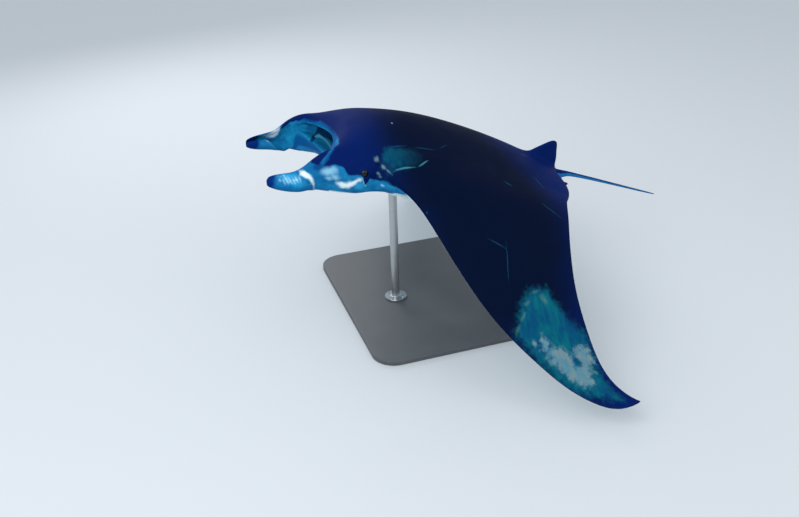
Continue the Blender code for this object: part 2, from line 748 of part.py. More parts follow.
def stand_rod(name, back, trunk):
    """A turned rod with a collar at its foot, cut off where it meets the belly."""
    foot = BASE_SIZE[2] + CUT_GAP
    shoulder = foot + COLLAR_HEIGHT
    outline = ((0, foot), (COLLAR_RADIUS, foot), (COLLAR_RADIUS, shoulder), (ROD_RADIUS, shoulder),
               (ROD_RADIUS, ROD_TOP), (0, ROD_TOP))
    bm = bmesh.new()
    corners = [bm.verts.new((out, 0, up)) for out, up in outline]
    edges = [bm.edges.new(pair) for pair in zip(corners, corners[1:])]
    bmesh.ops.spin(bm, geom=corners + edges, cent=(0, 0, 0), axis=(0, 0, 1), angle=math.tau,
                   steps=ROD_SIDES, use_merge=True)
    bmesh.ops.remove_doubles(bm, verts=bm.verts, dist=1e-6)
    bmesh.ops.recalc_face_normals(bm, faces=bm.faces)
    bmesh.ops.translate(bm, verts=bm.verts, vec=(0, back, 0))
    rod = to_object(bm, name)
    belly = trunk.copy()
    belly.data = trunk.data.copy()
    belly.parent = None
    belly.data.transform(Matrix.Translation((0, 0, -CUT_GAP)) @ trunk.matrix_world)
    belly.matrix_world = Matrix()
    cut(rod, [belly])
    return rod


# Finishes

def finish(item, name, colour, roughness, metallic):
    """Gives an object its own material and shades it smooth."""
    material = bpy.data.materials.new(f"{name}_{item.name}")
    material.use_nodes = True
    shader = material.node_tree.nodes["Principled BSDF"]
    shader.inputs["Base Color"].default_value = (*colour, 1)
    shader.inputs["Roughness"].default_value = roughness
    shader.inputs["Metallic"].default_value = metallic
    item.data.materials.clear()
    item.data.materials.append(material)
    item.data.shade_smooth()
    item.data.set_sharp_from_angle(angle=math.radians(SMOOTH_ANGLE))


def dark_hide(item):
    finish(item, "dark_hide", *DARK_HIDE)


def pale_hide(item):
    finish(item, "pale_hide", *PALE_HIDE)


def wet_eye(item):
    finish(item, "wet_eye", *WET_EYE)


def painted_plate(item):
    finish(item, "painted_plate", *PAINTED_PLATE)


def brushed_rod(item):
    finish(item, "brushed_rod", *BRUSHED_ROD)


FINISH_OF = {"cephalic": pale_hide, "lower": pale_hide, "eye": wet_eye}


def build():
    for item in list(bpy.data.objects):
        bpy.data.objects.remove(item, do_unlink=True)
    pieces = animal_pieces()
    pose(pieces)
    for name, piece in pieces.items():
        give_finish = FINISH_OF.get(name.split("_")[0], dark_hide)
        give_finish(piece)
    painted_plate(stand_base())
    brushed_rod(stand_rod("stand_rod_front", FRONT_ROD, pieces["trunk"]))
    brushed_rod(stand_rod("stand_rod_rear", REAR_ROD, pieces["trunk"]))


build()
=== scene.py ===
import math
from bisect import bisect_right

import bmesh
import bpy
import numpy as np
from mathutils import Matrix, Vector


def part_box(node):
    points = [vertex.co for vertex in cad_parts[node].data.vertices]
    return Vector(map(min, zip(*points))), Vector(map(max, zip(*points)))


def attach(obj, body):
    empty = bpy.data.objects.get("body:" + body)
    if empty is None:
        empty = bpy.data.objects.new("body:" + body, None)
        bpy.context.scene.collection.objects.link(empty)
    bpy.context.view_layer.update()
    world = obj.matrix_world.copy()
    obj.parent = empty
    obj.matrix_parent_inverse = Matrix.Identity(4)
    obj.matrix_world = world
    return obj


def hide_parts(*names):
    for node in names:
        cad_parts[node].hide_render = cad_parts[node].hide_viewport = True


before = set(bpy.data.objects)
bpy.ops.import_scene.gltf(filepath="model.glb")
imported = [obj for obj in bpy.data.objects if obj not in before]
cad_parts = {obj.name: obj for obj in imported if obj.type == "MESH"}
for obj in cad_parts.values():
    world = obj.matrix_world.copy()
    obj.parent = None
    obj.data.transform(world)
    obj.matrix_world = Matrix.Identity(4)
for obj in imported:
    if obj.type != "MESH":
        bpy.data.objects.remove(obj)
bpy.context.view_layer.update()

# The base plate.  It is a 25 mm slab of mild steel, cut with round corners, its edges eased,
# then blasted and powder coated in satin dark grey.  It lies on the floor by its own weight and
# carries both rods.
PLATE_CORNER = 0.12
PLATE_EDGE = 0.004
PLATE_SOLE_EDGE = 0.001
PLATE_GREY = "#3A3D42"
PLATE_DUST = "#55595D"
PEEL_GRAIN = 0.004
DUST_PATCH = 0.22


def linear(code):
    """Turns an sRGB hex colour into the linear one that a shader takes."""
    parts = [int(code[i:i + 2], 16) / 255 for i in (1, 3, 5)]
    return (*(p / 12.92 if p <= 0.04045 else ((p + 0.055) / 1.055) ** 2.4 for p in parts), 1.0)


def feed(node, feeds):
    """Feeds a node's sockets with values, or with links from other nodes."""
    for key, value in feeds.items():
        if isinstance(value, bpy.types.NodeSocket):
            node.id_data.links.new(value, node.inputs[key])
        else:
            node.inputs[key].default_value = value


def add(tree, kind, feeds, out=0, **settings):
    """Adds a shader node with its settings, feeds its sockets and gives its output."""
    made = tree.nodes.new("ShaderNode" + kind)
    for name, value in settings.items():
        setattr(made, name, value)
    feed(made, feeds)
    return made.outputs[out]


def new_finish(name):
    """A material with only its shader and output, as (material, node tree, shader)."""
    material = bpy.data.materials.new(name)
    material.use_nodes = True
    return material, material.node_tree, material.node_tree.nodes["Principled BSDF"]


def in_scene(name, data):
    """An object linked into the scene."""
    thing = bpy.data.objects.new(name, data)
    bpy.context.scene.collection.objects.link(thing)
    return thing


def mesh_of(bm, name):
    """A mesh made from a bmesh, which is then freed."""
    mesh = bpy.data.meshes.new(name)
    bm.to_mesh(mesh)
    bm.free()
    return mesh


def finished(bm, name, material, sharp=40):
    """A piece from a bmesh, shaded smooth up to an angle, that rides on the model."""
    mesh = mesh_of(bm, name)
    mesh.materials.append(material)
    mesh.shade_smooth()
    mesh.set_sharp_from_angle(angle=math.radians(sharp))
    piece = in_scene(name, mesh)
    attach(piece, "root")
    return piece


def powder_coat():
    """Satin polyester powder coat: a fine orange peel, and a breath of dust where no one wipes."""
    material, tree, shader = new_finish("satin_powder_coat")
    place = add(tree, "TexCoord", {}, "Object")
    dust = add(tree, "TexNoise", {"Vector": place, "Scale": 1 / DUST_PATCH, "Detail": 6.0})
    colour = add(tree, "Mix", {0: dust, 6: linear(PLATE_GREY), 7: linear(PLATE_DUST)}, 2, data_type="RGBA")
    rough = add(tree, "MapRange", {"Value": dust, "To Min": 0.42, "To Max": 0.62})
    # The peel is drawn about four times as coarse as it is, so that it shows.
    peel = add(tree, "TexNoise", {"Vector": place, "Scale": 1 / PEEL_GRAIN, "Detail": 2.0})
    bump = add(tree, "Bump", {"Height": peel, "Strength": 0.15, "Distance": 0.0004})
    feed(shader, {"Base Color": colour, "Roughness": rough, "Normal": bump})
    return material


plate_low, plate_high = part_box("stand_base")
bm = bmesh.new()
bmesh.ops.create_cube(bm, size=1)
bmesh.ops.scale(bm, verts=bm.verts, vec=plate_high - plate_low)
bmesh.ops.translate(bm, verts=bm.verts, vec=(plate_low + plate_high) / 2)
uprights = [edge for edge in bm.edges if abs(edge.verts[0].co.z - edge.verts[1].co.z) > PLATE_EDGE]
bmesh.ops.bevel(bm, geom=uprights, offset=PLATE_CORNER, affect="EDGES", segments=20, profile=0.5,
                material=-1)
for level, width, rounds in ((plate_high.z, PLATE_EDGE, 4), (plate_low.z, PLATE_SOLE_EDGE, 2)):
    rim = [edge for edge in bm.edges if all(abs(vert.co.z - level) < 1e-6 for vert in edge.verts)]
    bmesh.ops.bevel(bm, geom=rim, offset=width, affect="EDGES", segments=rounds, profile=0.5,
                    material=-1)
plate = finished(bm, "plate", powder_coat())
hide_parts("stand_base")

# The two rods.  Each is a 45 mm stainless bar with a turned collar welded to its foot, brushed
# round in the lathe.  Four cap screws hold its collar to the plate, and its upper end goes a
# little way into the belly.
ROD_RADIUS = 0.0225
ROD_SUNK = 0.006
COLLAR_RADIUS = 0.06
COLLAR_HEIGHT = 0.012
COLLAR_CHAMFER = 0.0015
WELD_THROAT = 0.005
WELD_STEPS = 5
TURNED_STEPS = 72
SCREWS = 4
SCREW_RING = 0.0445
SCREW_RADIUS = 0.0065
SCREW_HEIGHT = 0.006
SCREW_CHAMFER = 0.0008
SCREW_STEPS = 24
SOCKET_RADIUS = 0.0032
SOCKET_DEPTH = 0.004
STEEL = "#C3C6C8"
STEEL_SHADE = "#9EA2A6"
BRUSH_LINE = 0.0016


def brushed_steel():
    """Stainless bar brushed in the lathe: fine rings round it soften its gloss."""
    material, tree, shader = new_finish("brushed_stainless")
    place = add(tree, "TexCoord", {}, "Object")
    # The brush lines are drawn about five times as coarse as they are, so that they show.
    rings = add(tree, "Mapping", {"Vector": place, "Scale": (6.0, 6.0, 1 / BRUSH_LINE)})
    lines = add(tree, "TexNoise", {"Vector": rings, "Scale": 1.0, "Detail": 4.0})
    colour = add(tree, "Mix", {0: lines, 6: linear(STEEL_SHADE), 7: linear(STEEL)}, 2, data_type="RGBA")
    rough = add(tree, "MapRange", {"Value": lines, "To Min": 0.22, "To Max": 0.4})
    bump = add(tree, "Bump", {"Height": lines, "Strength": 0.25, "Distance": 0.0003})
    feed(shader, {"Base Color": colour, "Roughness": rough, "Normal": bump, "Metallic": 1.0})
    return material


def turned(outline, steps):
    """A bmesh turned about an upright axis from (out, up) corners that start and end on the axis."""
    bm = bmesh.new()
    corners = [bm.verts.new((out, 0, up)) for out, up in outline]
    edges = [bm.edges.new(pair) for pair in zip(corners, corners[1:])]
    bmesh.ops.spin(bm, geom=corners + edges, cent=(0, 0, 0), axis=(0, 0, 1), angle=math.tau,
                   steps=steps, use_merge=True)
    bmesh.ops.remove_doubles(bm, verts=bm.verts, dist=1e-6)
    bmesh.ops.recalc_face_normals(bm, faces=bm.faces)
    return bm


def rod_outline(foot, top):
    """The rod and its collar in section, with a weld in the corner between them."""
    shoulder = foot + COLLAR_HEIGHT
    outline = [(0, foot), (COLLAR_RADIUS - COLLAR_CHAMFER, foot), (COLLAR_RADIUS, foot + COLLAR_CHAMFER),
               (COLLAR_RADIUS, shoulder - COLLAR_CHAMFER), (COLLAR_RADIUS - COLLAR_CHAMFER, shoulder)]
    for step in range(WELD_STEPS + 1):
        turn = math.pi / 2 * step / WELD_STEPS
        outline.append((ROD_RADIUS + WELD_THROAT * (1 - math.sin(turn)),
                        shoulder + WELD_THROAT * (1 - math.cos(turn))))
    return outline + [(ROD_RADIUS, top), (0, top)]


def screw_outline(foot):
    """A cap screw's head in section, from the middle of its socket to its underside."""
    top = foot + SCREW_HEIGHT
    return [(0, top - SOCKET_DEPTH), (SOCKET_RADIUS, top - SOCKET_DEPTH), (SOCKET_RADIUS, top),
            (SCREW_RADIUS - SCREW_CHAMFER, top), (SCREW_RADIUS, top - SCREW_CHAMFER),
            (SCREW_RADIUS, foot), (0, foot)]


steel = brushed_steel()
screws = bmesh.new()
for node in ("stand_rod_front", "stand_rod_rear"):
    low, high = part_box(node)
    axis = Vector(((low.x + high.x) / 2, (low.y + high.y) / 2, 0))
    bm = turned(rod_outline(plate_high.z, high.z + ROD_SUNK), TURNED_STEPS)
    bmesh.ops.translate(bm, verts=bm.verts, vec=axis)
    rod = finished(bm, node.replace("stand_rod", "rod"), steel, sharp=30)
    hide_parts(node)
    for screw in range(SCREWS):
        turn = math.tau * (screw + 0.5) / SCREWS
        head = turned(screw_outline(plate_high.z + COLLAR_HEIGHT), SCREW_STEPS)
        spot = axis + Vector((math.cos(turn), math.sin(turn), 0)) * SCREW_RING
        bmesh.ops.translate(head, verts=head.verts, vec=spot)
        one = mesh_of(head, "screw_head")
        screws.from_mesh(one)
        bpy.data.meshes.remove(one)
finished(screws, "collar_screws", steel, sharp=30)

# The hide, as a form.  On a museum's model it is one skin of glass-fibre resin, laid up in a
# mould of the whole fish and rubbed down.  It is drawn flat here, in fractions of the width of
# the disc, with +X to the fish's left and +Y back from its upper jaw, by the same named sizes as
# the solids, then smoothed and bent into the glide.
DISC_WIDTH = 3.2
HEAD_STRIPS = (0.008, 0.028, 0.046, 0.063, 0.078, 0.091)
WING_STRIPS = 10
HEAD_ROWS = 4
BODY_ROWS = 8
ROWS = HEAD_ROWS + BODY_ROWS
LEVELS = 5
JAW_SIDE = len(HEAD_STRIPS) - 2
HEAD_SIDE = len(HEAD_STRIPS) - 1
WING_TIP = HEAD_SIDE + WING_STRIPS
STRIPS = 2 * WING_TIP + 1
LEADING_EDGE = ((0.091, 0.067), (0.12, 0.087), (0.16, 0.111), (0.2, 0.133), (0.25, 0.156), (0.35, 0.207),
                (0.44, 0.278), (0.485, 0.318), (0.5, 0.335))
TRAILING_EDGE = ((0.0, 0.425), (0.04, 0.423), (0.075, 0.417), (0.1, 0.404), (0.13, 0.382), (0.22, 0.352),
                 (0.32, 0.3365), (0.42, 0.34), (0.485, 0.3635), (0.5, 0.3705))
TIP_ROUNDING = 0.007
JAW_CORNER = -0.013
LIP_SETBACK = 0.026
NECK_SETBACK = 0.012
HEAD_TAPER = 0.004
EVEN_ROWS = 0.35
WING_HALF = ((0.0, 0.03), (0.1, 0.026), (0.15, 0.021), (0.2, 0.0165), (0.3, 0.0105), (0.4, 0.0065),
             (0.47, 0.0042), (0.5, 0.0022))
BACK = ((0.0, 0.026), (0.03, 0.048), (0.06, 0.061), (0.1, 0.07), (0.15, 0.073), (0.21, 0.069),
        (0.27, 0.061), (0.32, 0.0525), (0.36, 0.0435), (0.4, 0.033), (0.425, 0.024))
BELLY = ((0.0, -0.024), (0.03, -0.032), (0.06, -0.04), (0.1, -0.049), (0.18, -0.056), (0.28, -0.05),
         (0.36, -0.032), (0.4, -0.016), (0.425, -0.004))
HEAD_EDGE_TOP = ((0.0, 0.02), (0.07, 0.033))
HEAD_EDGE_LOW = ((0.0, -0.048), (0.05, -0.044), (0.09, -0.036))
TRUNK_REACH = 0.165
EDGE_SHARE = 0.12
SECTION_CREST = 0.7
SECTION_FULLNESS = 0.8
HEAD_SQUARENESS = 2.5
HEAD_ENDS_BACK = (0.045, 0.115)
HEAD_ENDS_OUT = (0.091, 0.13)
RIM_BULGE = 0.22
MOUTH_CORNER = (-0.006, 0.008)
UPPER_LIP = 0.018
LOWER_LIP = -0.013
LIP_DEPTH = 0.009
CHIN_FORWARD = 0.006
MOUTH_STEPS = ((0.01, 0.85, 0.97), (0.028, 1.5, 0.96), (0.034, 0.9, 0.8))
CEPHALIC_STATIONS = (
    (-0.023, -0.0215, 0.096, 0.045, 68, 30, 0.0085, 14),
    (-0.032, -0.029, 0.1, 0.024, 140, 48, 0.0065, 22),
    (-0.042, -0.0355, 0.103, 0.0185, 240, 62, 0.0058, 20),
    (-0.053, -0.0385, 0.104, 0.016, 305, 70, 0.0052, 16),
    (-0.064, -0.041, 0.101, 0.0145, 320, 72, 0.0048, 14),
    (-0.075, -0.043, 0.0965, 0.0125, 320, 72, 0.0044, 12),
    (-0.084, -0.0445, 0.0915, 0.0095, 320, 72, 0.004, 12),
    (-0.0895, -0.0455, 0.087, 0.006, 315, 72, 0.0034, 12),
)
ROLL_TUCK = 0.2
ROLL_FLATNESS = 0.85
ROLL_SLANT = 24.0
FULL_ROLL = 240
DORSAL_ROWS = 2
DORSAL_STATIONS = (
    (0.006, (0.372, 0.05), (0.4, 0.047), (0.426, 0.04)),
    (0.0042, (0.3895, 0.062), (0.405, 0.06), (0.4195, 0.055)),
    (0.0024, (0.4055, 0.072), (0.411, 0.072), (0.416, 0.07)),
)
TAIL_STATIONS = (
    (0.44, 0.014, 0.007, 0.0085),
    (0.452, 0.018, 0.0045, 0.0045),
    (0.47, 0.0178, 0.0034, 0.0034),
    (0.51, 0.0157, 0.0027, 0.0028),
    (0.555, 0.0128, 0.0022, 0.0022),
    (0.6, 0.0098, 0.0018, 0.0018),
    (0.635, 0.0076, 0.0014, 0.0014),
    (0.654, 0.0065, 0.0008, 0.0008),
)
TAIL_ROUND = 1.25
PELVIC_STRIPS = (1, 3)
PELVIC_STATIONS = (
    (0.431, 0.005, 0.0175, 0.041, 0.0032),
    (0.441, 0.006, 0.017, 0.029, 0.0022),
    (0.45, 0.006, 0.017, 0.023, 0.0014),
)
SMOOTHINGS = 3


def along(points, place):
    """Reads a smooth curve through points at one place.  The curve never swings past its points."""
    if place <= points[0][0]:
        return points[0][1]
    if place >= points[-1][0]:
        return points[-1][1]
    rises = [(b[1] - a[1]) / (b[0] - a[0]) for a, b in zip(points, points[1:])]
    slopes = [rises[0]]
    for before, after in zip(rises, rises[1:]):
        slopes.append(2 * before * after / (before + after) if before * after > 0 else 0.0)
    slopes.append(rises[-1])
    i = bisect_right([point[0] for point in points], place) - 1
    width = points[i + 1][0] - points[i][0]
    t = (place - points[i][0]) / width
    start = (1 + 2 * t) * (1 - t) ** 2 * points[i][1] + t * (1 - t) ** 2 * width * slopes[i]
    end = t * t * (3 - 2 * t) * points[i + 1][1] - t * t * (1 - t) * width * slopes[i + 1]
    return start + end


def ease(start, end, value):
    """Rises smoothly from 0 at start to 1 at end, for a number or a whole array."""
    t = np.clip((value - start) / (end - start), 0.0, 1.0)
    return t * t * (3 - 2 * t)


def between(start, end, share):
    return start + (end - start) * share


def across(strip):
    """How far from the middle the edge of a strip lies."""
    if strip <= HEAD_SIDE:
        return HEAD_STRIPS[strip]
    turn = math.pi * (strip - HEAD_SIDE) / WING_STRIPS
    return between(HEAD_STRIPS[HEAD_SIDE], 0.5, 0.5 - 0.5 * math.cos(turn))


def jaw_line(out):
    """The upper jaw from above: a shallow bay between the roots of the head fins."""
    return JAW_CORNER + LIP_SETBACK * max(0.0, 1 - (out / HEAD_STRIPS[JAW_SIDE]) ** 2)


def front_line(out):
    """The neck across the head, and the leading edge beyond it."""
    head = HEAD_STRIPS[HEAD_SIDE]
    if out <= head:
        return LEADING_EDGE[0][1] + NECK_SETBACK * (1 - (out / head) ** 2)
    return along(LEADING_EDGE, out)


def chord_share(row):
    """How far back along the chord a row of the body lies.  Rows are closer at both edges."""
    t = (row - HEAD_ROWS) / BODY_ROWS
    return between(0.5 - 0.5 * math.cos(math.pi * t), t, EVEN_ROWS)


def back_from_jaw(out, row):
    if row < HEAD_ROWS:
        return between(jaw_line(out), front_line(out), row / HEAD_ROWS)
    return between(front_line(out), along(TRAILING_EDGE, out), chord_share(row))


def wing_height(out, share):
    """Half the wing's thickness: a fish's fin section, thickest a third of the way back."""
    curve = max(math.sin(math.pi * share ** SECTION_CREST), 0.0) ** SECTION_FULLNESS
    return along(WING_HALF, out) * max(curve, EDGE_SHARE)


def height(out, back, row, side):
    """The height of the hide over the middle plane.  side is 1 on the back and -1 on the belly."""
    middle = along(BACK, back) if side > 0 else along(BELLY, back)
    trunk = 1 - ease(0.0, TRUNK_REACH, out)
    share = chord_share(row) if row >= HEAD_ROWS else 0.0
    body = between(side * wing_height(out, share), middle, trunk)
    edge = along(HEAD_EDGE_TOP, back) if side > 0 else along(HEAD_EDGE_LOW, back)
    head = between(middle, edge, min(out / HEAD_STRIPS[HEAD_SIDE], 1.0) ** HEAD_SQUARENESS)
    head_share = (1 - ease(*HEAD_ENDS_BACK, back)) * (1 - ease(*HEAD_ENDS_OUT, out))
    return between(body, head, head_share)


def strip_at(column):
    """Which strip's outer edge a column is.  Columns are odd numbers, negative on the right."""
    return (abs(column) - 1) // 2


def column_of(strip):
    return 2 * strip + 1


def mouth_edge(out, level):
    """The height of the lips' edges: the upper jaw arches up and the lower jaw hangs open."""
    open_share = max(0.0, 1 - (out / HEAD_STRIPS[JAW_SIDE]) ** 2)
    roof = between(MOUTH_CORNER[1], UPPER_LIP, open_share)
    floor = between(MOUTH_CORNER[0], LOWER_LIP, open_share)
    return between(floor, roof, (level - 1) / (LEVELS - 2))


def place(column, row, level):
    """Where a corner of the slab lies on the animal."""
    side = math.copysign(1, column)
    strip = strip_at(column)
    out = across(strip)
    if strip == WING_TIP:
        rounded = TIP_ROUNDING * (1 - math.sin(math.pi * (row - HEAD_ROWS) / BODY_ROWS))
        return Vector((side * (out - rounded), back_from_jaw(out, row), 0.0))
    back = back_from_jaw(out, row)
    top = height(out, back, row, 1)
    low = height(out, back, row, -1)
    rise = level / LEVELS
    thin_front = row == HEAD_ROWS and strip > HEAD_SIDE + 1
    if 0 < level < LEVELS and (row == ROWS or thin_front):
        rise = 0.5
    bulge = RIM_BULGE * (top - low) * math.sin(math.pi * rise)
    up = between(low, top, rise)
    if strip == HEAD_SIDE and row <= HEAD_ROWS:
        out += bulge - HEAD_TAPER * (1 - row / HEAD_ROWS)
    elif row == HEAD_ROWS and strip > HEAD_SIDE:
        back -= bulge
    elif row == ROWS:
        back += bulge
    elif row == 0 and level in (0, LEVELS):
        back += LIP_DEPTH
    elif row == 0 and strip <= JAW_SIDE:
        up = mouth_edge(out, level)
        back -= between(CHIN_FORWARD, 0.0, (level - 1) / (LEVELS - 2))
    return Vector((side * out, back, up))


def slab(bm):
    """A slab of squares whose places are (column, row, level), without the corners beside the head."""
    bmesh.ops.create_grid(bm, x_segments=STRIPS, y_segments=ROWS, size=0.5)
    for vert in bm.verts:
        vert.co = (round(vert.co.x * 2 * STRIPS), round((vert.co.y + 0.5) * ROWS), 0)
    beside_head = [face for face in bm.faces
                   if abs(face.calc_center_median().x) > column_of(HEAD_SIDE)
                   and face.calc_center_median().y < HEAD_ROWS]
    bmesh.ops.delete(bm, geom=beside_head, context="FACES")
    grown = bmesh.ops.extrude_face_region(bm, geom=bm.faces[:], use_keep_orig=True)["geom"]
    raised = [item for item in grown if isinstance(item, bmesh.types.BMVert)]
    bmesh.ops.translate(bm, verts=raised, vec=(0, 0, LEVELS))
    uprights = [edge for edge in bm.edges if abs(edge.verts[0].co.z - edge.verts[1].co.z) > 1]
    bmesh.ops.subdivide_edges(bm, edges=uprights, cuts=LEVELS - 1, use_grid_fill=True)
    bmesh.ops.recalc_face_normals(bm, faces=bm.faces)


def patch_at(column, row, level):
    """Names the patch of the slab that a face's middle lies in, if a form grows from it."""
    strip = (abs(column) - 1) / 2
    side = "left" if column > 0 else "right"
    if row == 0 and strip > JAW_SIDE:
        return f"cephalic_{side}"
    if row == 0 and 1 < level < LEVELS - 1:
        return "mouth"
    if level == LEVELS and strip < 0 and row > ROWS - DORSAL_ROWS:
        return "dorsal"
    if row == ROWS and strip < 0:
        return "tail"
    if row == ROWS and PELVIC_STRIPS[0] < strip < PELVIC_STRIPS[1]:
        return f"pelvic_{side}"
    return ""


def tag_slab(bm):
    """Keeps on each corner its column, row and level, and whether it lines the mouth."""
    marks = [bm.verts.layers.int.new(name) for name in ("column", "row", "level")]
    lining = bm.verts.layers.float.new("lining")
    for vert in bm.verts:
        for mark, number in zip(marks, vert.co):
            vert[mark] = round(number)
        column, row, level = (vert[mark] for mark in marks)
        lips = row == 0 and strip_at(column) <= JAW_SIDE and 0 < level < LEVELS
        vert[lining] = 0.5 if lips else 0.0
    patch = bm.faces.layers.string.new("patch")
    for face in bm.faces:
        face[patch] = patch_at(*face.calc_center_median()).encode()


def grow(bm, name, new_place, lined=None):
    """Extrudes a patch by one step, and puts each new corner where new_place says."""
    patch = bm.faces.layers.string["patch"]
    marks = [bm.verts.layers.int[mark] for mark in ("column", "row", "level")]
    lining = bm.verts.layers.float["lining"]
    root = [face for face in bm.faces if face[patch] == name.encode()]
    grown = bmesh.ops.extrude_face_region(bm, geom=root)["geom"]
    caps = {item for item in grown if isinstance(item, bmesh.types.BMFace)}
    bmesh.ops.delete(bm, geom=root, context="FACES")
    for face in bm.faces:
        if face[patch] == name.encode() and face not in caps:
            face[patch] = b""
    for vert in grown:
        if isinstance(vert, bmesh.types.BMVert):
            numbers = [vert[mark] for mark in marks]
            vert.co = new_place(*numbers, vert.co)
            vert[lining] = lined(*numbers) if lined else 0.0


def grow_mouth(bm):
    """Sinks the mouth into the head: the inside of the lips, the wide hollow behind them, and its back."""
    for deeper, tall, wide in MOUTH_STEPS:
        def inward(column, row, level, spot):
            middle = mouth_edge(abs(spot.x), LEVELS / 2)
            return Vector((spot.x * wide, spot.y + deeper, between(middle, spot.z, tall)))
        grow(bm, "mouth", inward, lambda column, row, level: 1.0)


def grow_cephalic_fin(bm, name):
    """Draws a head fin out of the corner of the jaw: a plate that rolls up into a tapering horn."""
    for back, up, outer, radius, arc, start, thick, lean in CEPHALIC_STATIONS:
        closed = min(arc / FULL_ROLL, 1)
        slant = math.radians(ROLL_SLANT) * closed

        def rolled(column, row, level, spot):
            share = 1 - level / LEVELS
            turn = math.radians(start - arc * share)
            face = thick / 2 if strip_at(column) == HEAD_SIDE else -thick / 2
            reach = radius * (1 - ROLL_TUCK * share * arc / 360) + face
            wide = reach * math.cos(turn) * between(1, ROLL_FLATNESS, closed)
            tall = reach * math.sin(turn)
            out = outer - radius + wide * math.cos(slant) - tall * math.sin(slant)
            rise = wide * math.sin(slant) + tall * math.cos(slant)
            tilt = math.radians(lean)
            spot = (math.copysign(out, column), back - rise * math.sin(tilt), up + rise * math.cos(tilt))
            return Vector(spot)
        grow(bm, name, rolled, lambda column, row, level: float(strip_at(column) == JAW_SIDE))


def grow_dorsal(bm):
    """Raises the small dorsal fin, swept back over the root of the tail."""
    for half_width, *stations in DORSAL_STATIONS:
        def raised(column, row, level, spot):
            back, up = stations[row - (ROWS - DORSAL_ROWS)]
            return Vector((math.copysign(half_width, column), back, up))
        grow(bm, "dorsal", raised)


def grow_tail(bm):
    """Draws the tail out behind the dorsal fin into a long whip."""
    for back, up, half_width, half_height in TAIL_STATIONS:
        def drawn(column, row, level, spot):
            rim = {0: -1, LEVELS: 1}.get(level, 0)
            wide = half_width if rim else half_width * TAIL_ROUND
            return Vector((math.copysign(wide, column), back, up + rim * half_height))
        grow(bm, "tail", drawn)


def grow_pelvic_fin(bm, name):
    """Draws a pelvic fin back beside the root of the tail."""
    for back, up, inner, outer, half_height in PELVIC_STATIONS:
        def drawn(column, row, level, spot):
            first, last = PELVIC_STRIPS
            out = between(inner, outer, (strip_at(column) - first) / (last - first))
            rim = {0: -1, LEVELS: 1}.get(level, 0)
            return Vector((math.copysign(out, column), back, up + rim * half_height))
        grow(bm, name, drawn)


bm = bmesh.new()
slab(bm)
tag_slab(bm)
for vert in bm.verts:
    vert.co = place(*(round(number) for number in vert.co))
bmesh.ops.remove_doubles(bm, verts=bm.verts, dist=1e-6)
grow_mouth(bm)
for side in ("left", "right"):
    grow_cephalic_fin(bm, f"cephalic_{side}")
    grow_pelvic_fin(bm, f"pelvic_{side}")
grow_dorsal(bm)
grow_tail(bm)
bmesh.ops.recalc_face_normals(bm, faces=bm.faces)
hide = in_scene("hide", mesh_of(bm, "cage"))
rounded = hide.modifiers.new("Rounded", "SUBSURF")
rounded.levels = rounded.render_levels = SMOOTHINGS
bpy.context.view_layer.update()
flat_mesh = bpy.data.meshes.new_from_object(hide.evaluated_get(bpy.context.evaluated_depsgraph_get()))
bpy.data.objects.remove(hide)

# The finer net.  Where the sculptor worked in gill flaps, lids and nostrils, the hide is cut into
# smaller squares, so that their edges are crisp.
GILL_FIELD = ((0.012, 0.106), (0.1, 0.258))
GILL_CUTS = 3
EYE_AT = (0.046, -0.002)
NOSTRIL_AT = (0.062, -0.0035, 0.015)
NET_FIELDS = (((0.1, *EYE_AT), 0.017), ((0.1, *EYE_AT), 0.012), (NOSTRIL_AT, 0.012))

bm = bmesh.new()
bm.from_mesh(flat_mesh)
lengthwise = []
for edge in bm.edges:
    middle = (edge.verts[0].co + edge.verts[1].co) / 2
    run = edge.verts[1].co - edge.verts[0].co
    in_field = all(low < value < high for value, (low, high) in zip((abs(middle.x), middle.y), GILL_FIELD))
    if in_field and edge.verts[0].normal.z < -0.5 and abs(run.y) > abs(run.x):
        lengthwise.append(edge)
bmesh.ops.subdivide_edges(bm, edges=lengthwise, cuts=GILL_CUTS, use_grid_fill=True)
for spot, reach in NET_FIELDS:
    near = [edge for edge in bm.edges
            if all((Vector((abs(vert.co.x), *vert.co.yz)) - Vector(spot)).length < reach
                   for vert in edge.verts)]
    bmesh.ops.subdivide_edges(bm, edges=near, cuts=1, use_grid_fill=True)
bm.to_mesh(flat_mesh)
bm.free()

# The relief.  Five gill flaps on each side of the belly are laid over the slits behind them, the
# nostrils are hollows at the corners of the upper lip, and a spiracle lies behind each eye.  They
# are pressed into the clay before the mould is taken.
GILL_PAIRS = 5
GILL_FIRST = 0.122
GILL_SPACING = 0.025
GILL_INNER = 0.022
GILL_OUTER = 0.094
GILL_DRIFT = 0.001
GILL_SHORTER = 0.007
GILL_BOW = 0.012
GILL_BOW_TURN = 0.8
GILL_LENGTH = 0.015
GILL_PROUD = 0.0042
GILL_OVERHANG = 0.0055
GILL_DROP = 0.0012
GILL_LIP = 0.001
GILL_ENDS = (0.03, 0.97)
FACING_DOWN = (0.3, 0.7)
SLIT_DEPTH = 0.003
SLIT_LENGTH = 0.011
SLIT_SHADE = (-0.0015, 0.0, 0.005, 0.01)
HOLLOWS = ((NOSTRIL_AT, (0.0085, 0.006, 0.0045), 0.0026),
           ((0.1, 0.066, 0.012), (0.01, 0.006, 0.0022), 0.0016))
HOLLOW_EDGE = (0.3, 1.0)
HOLLOW_SHADE = (0.2, 0.8)

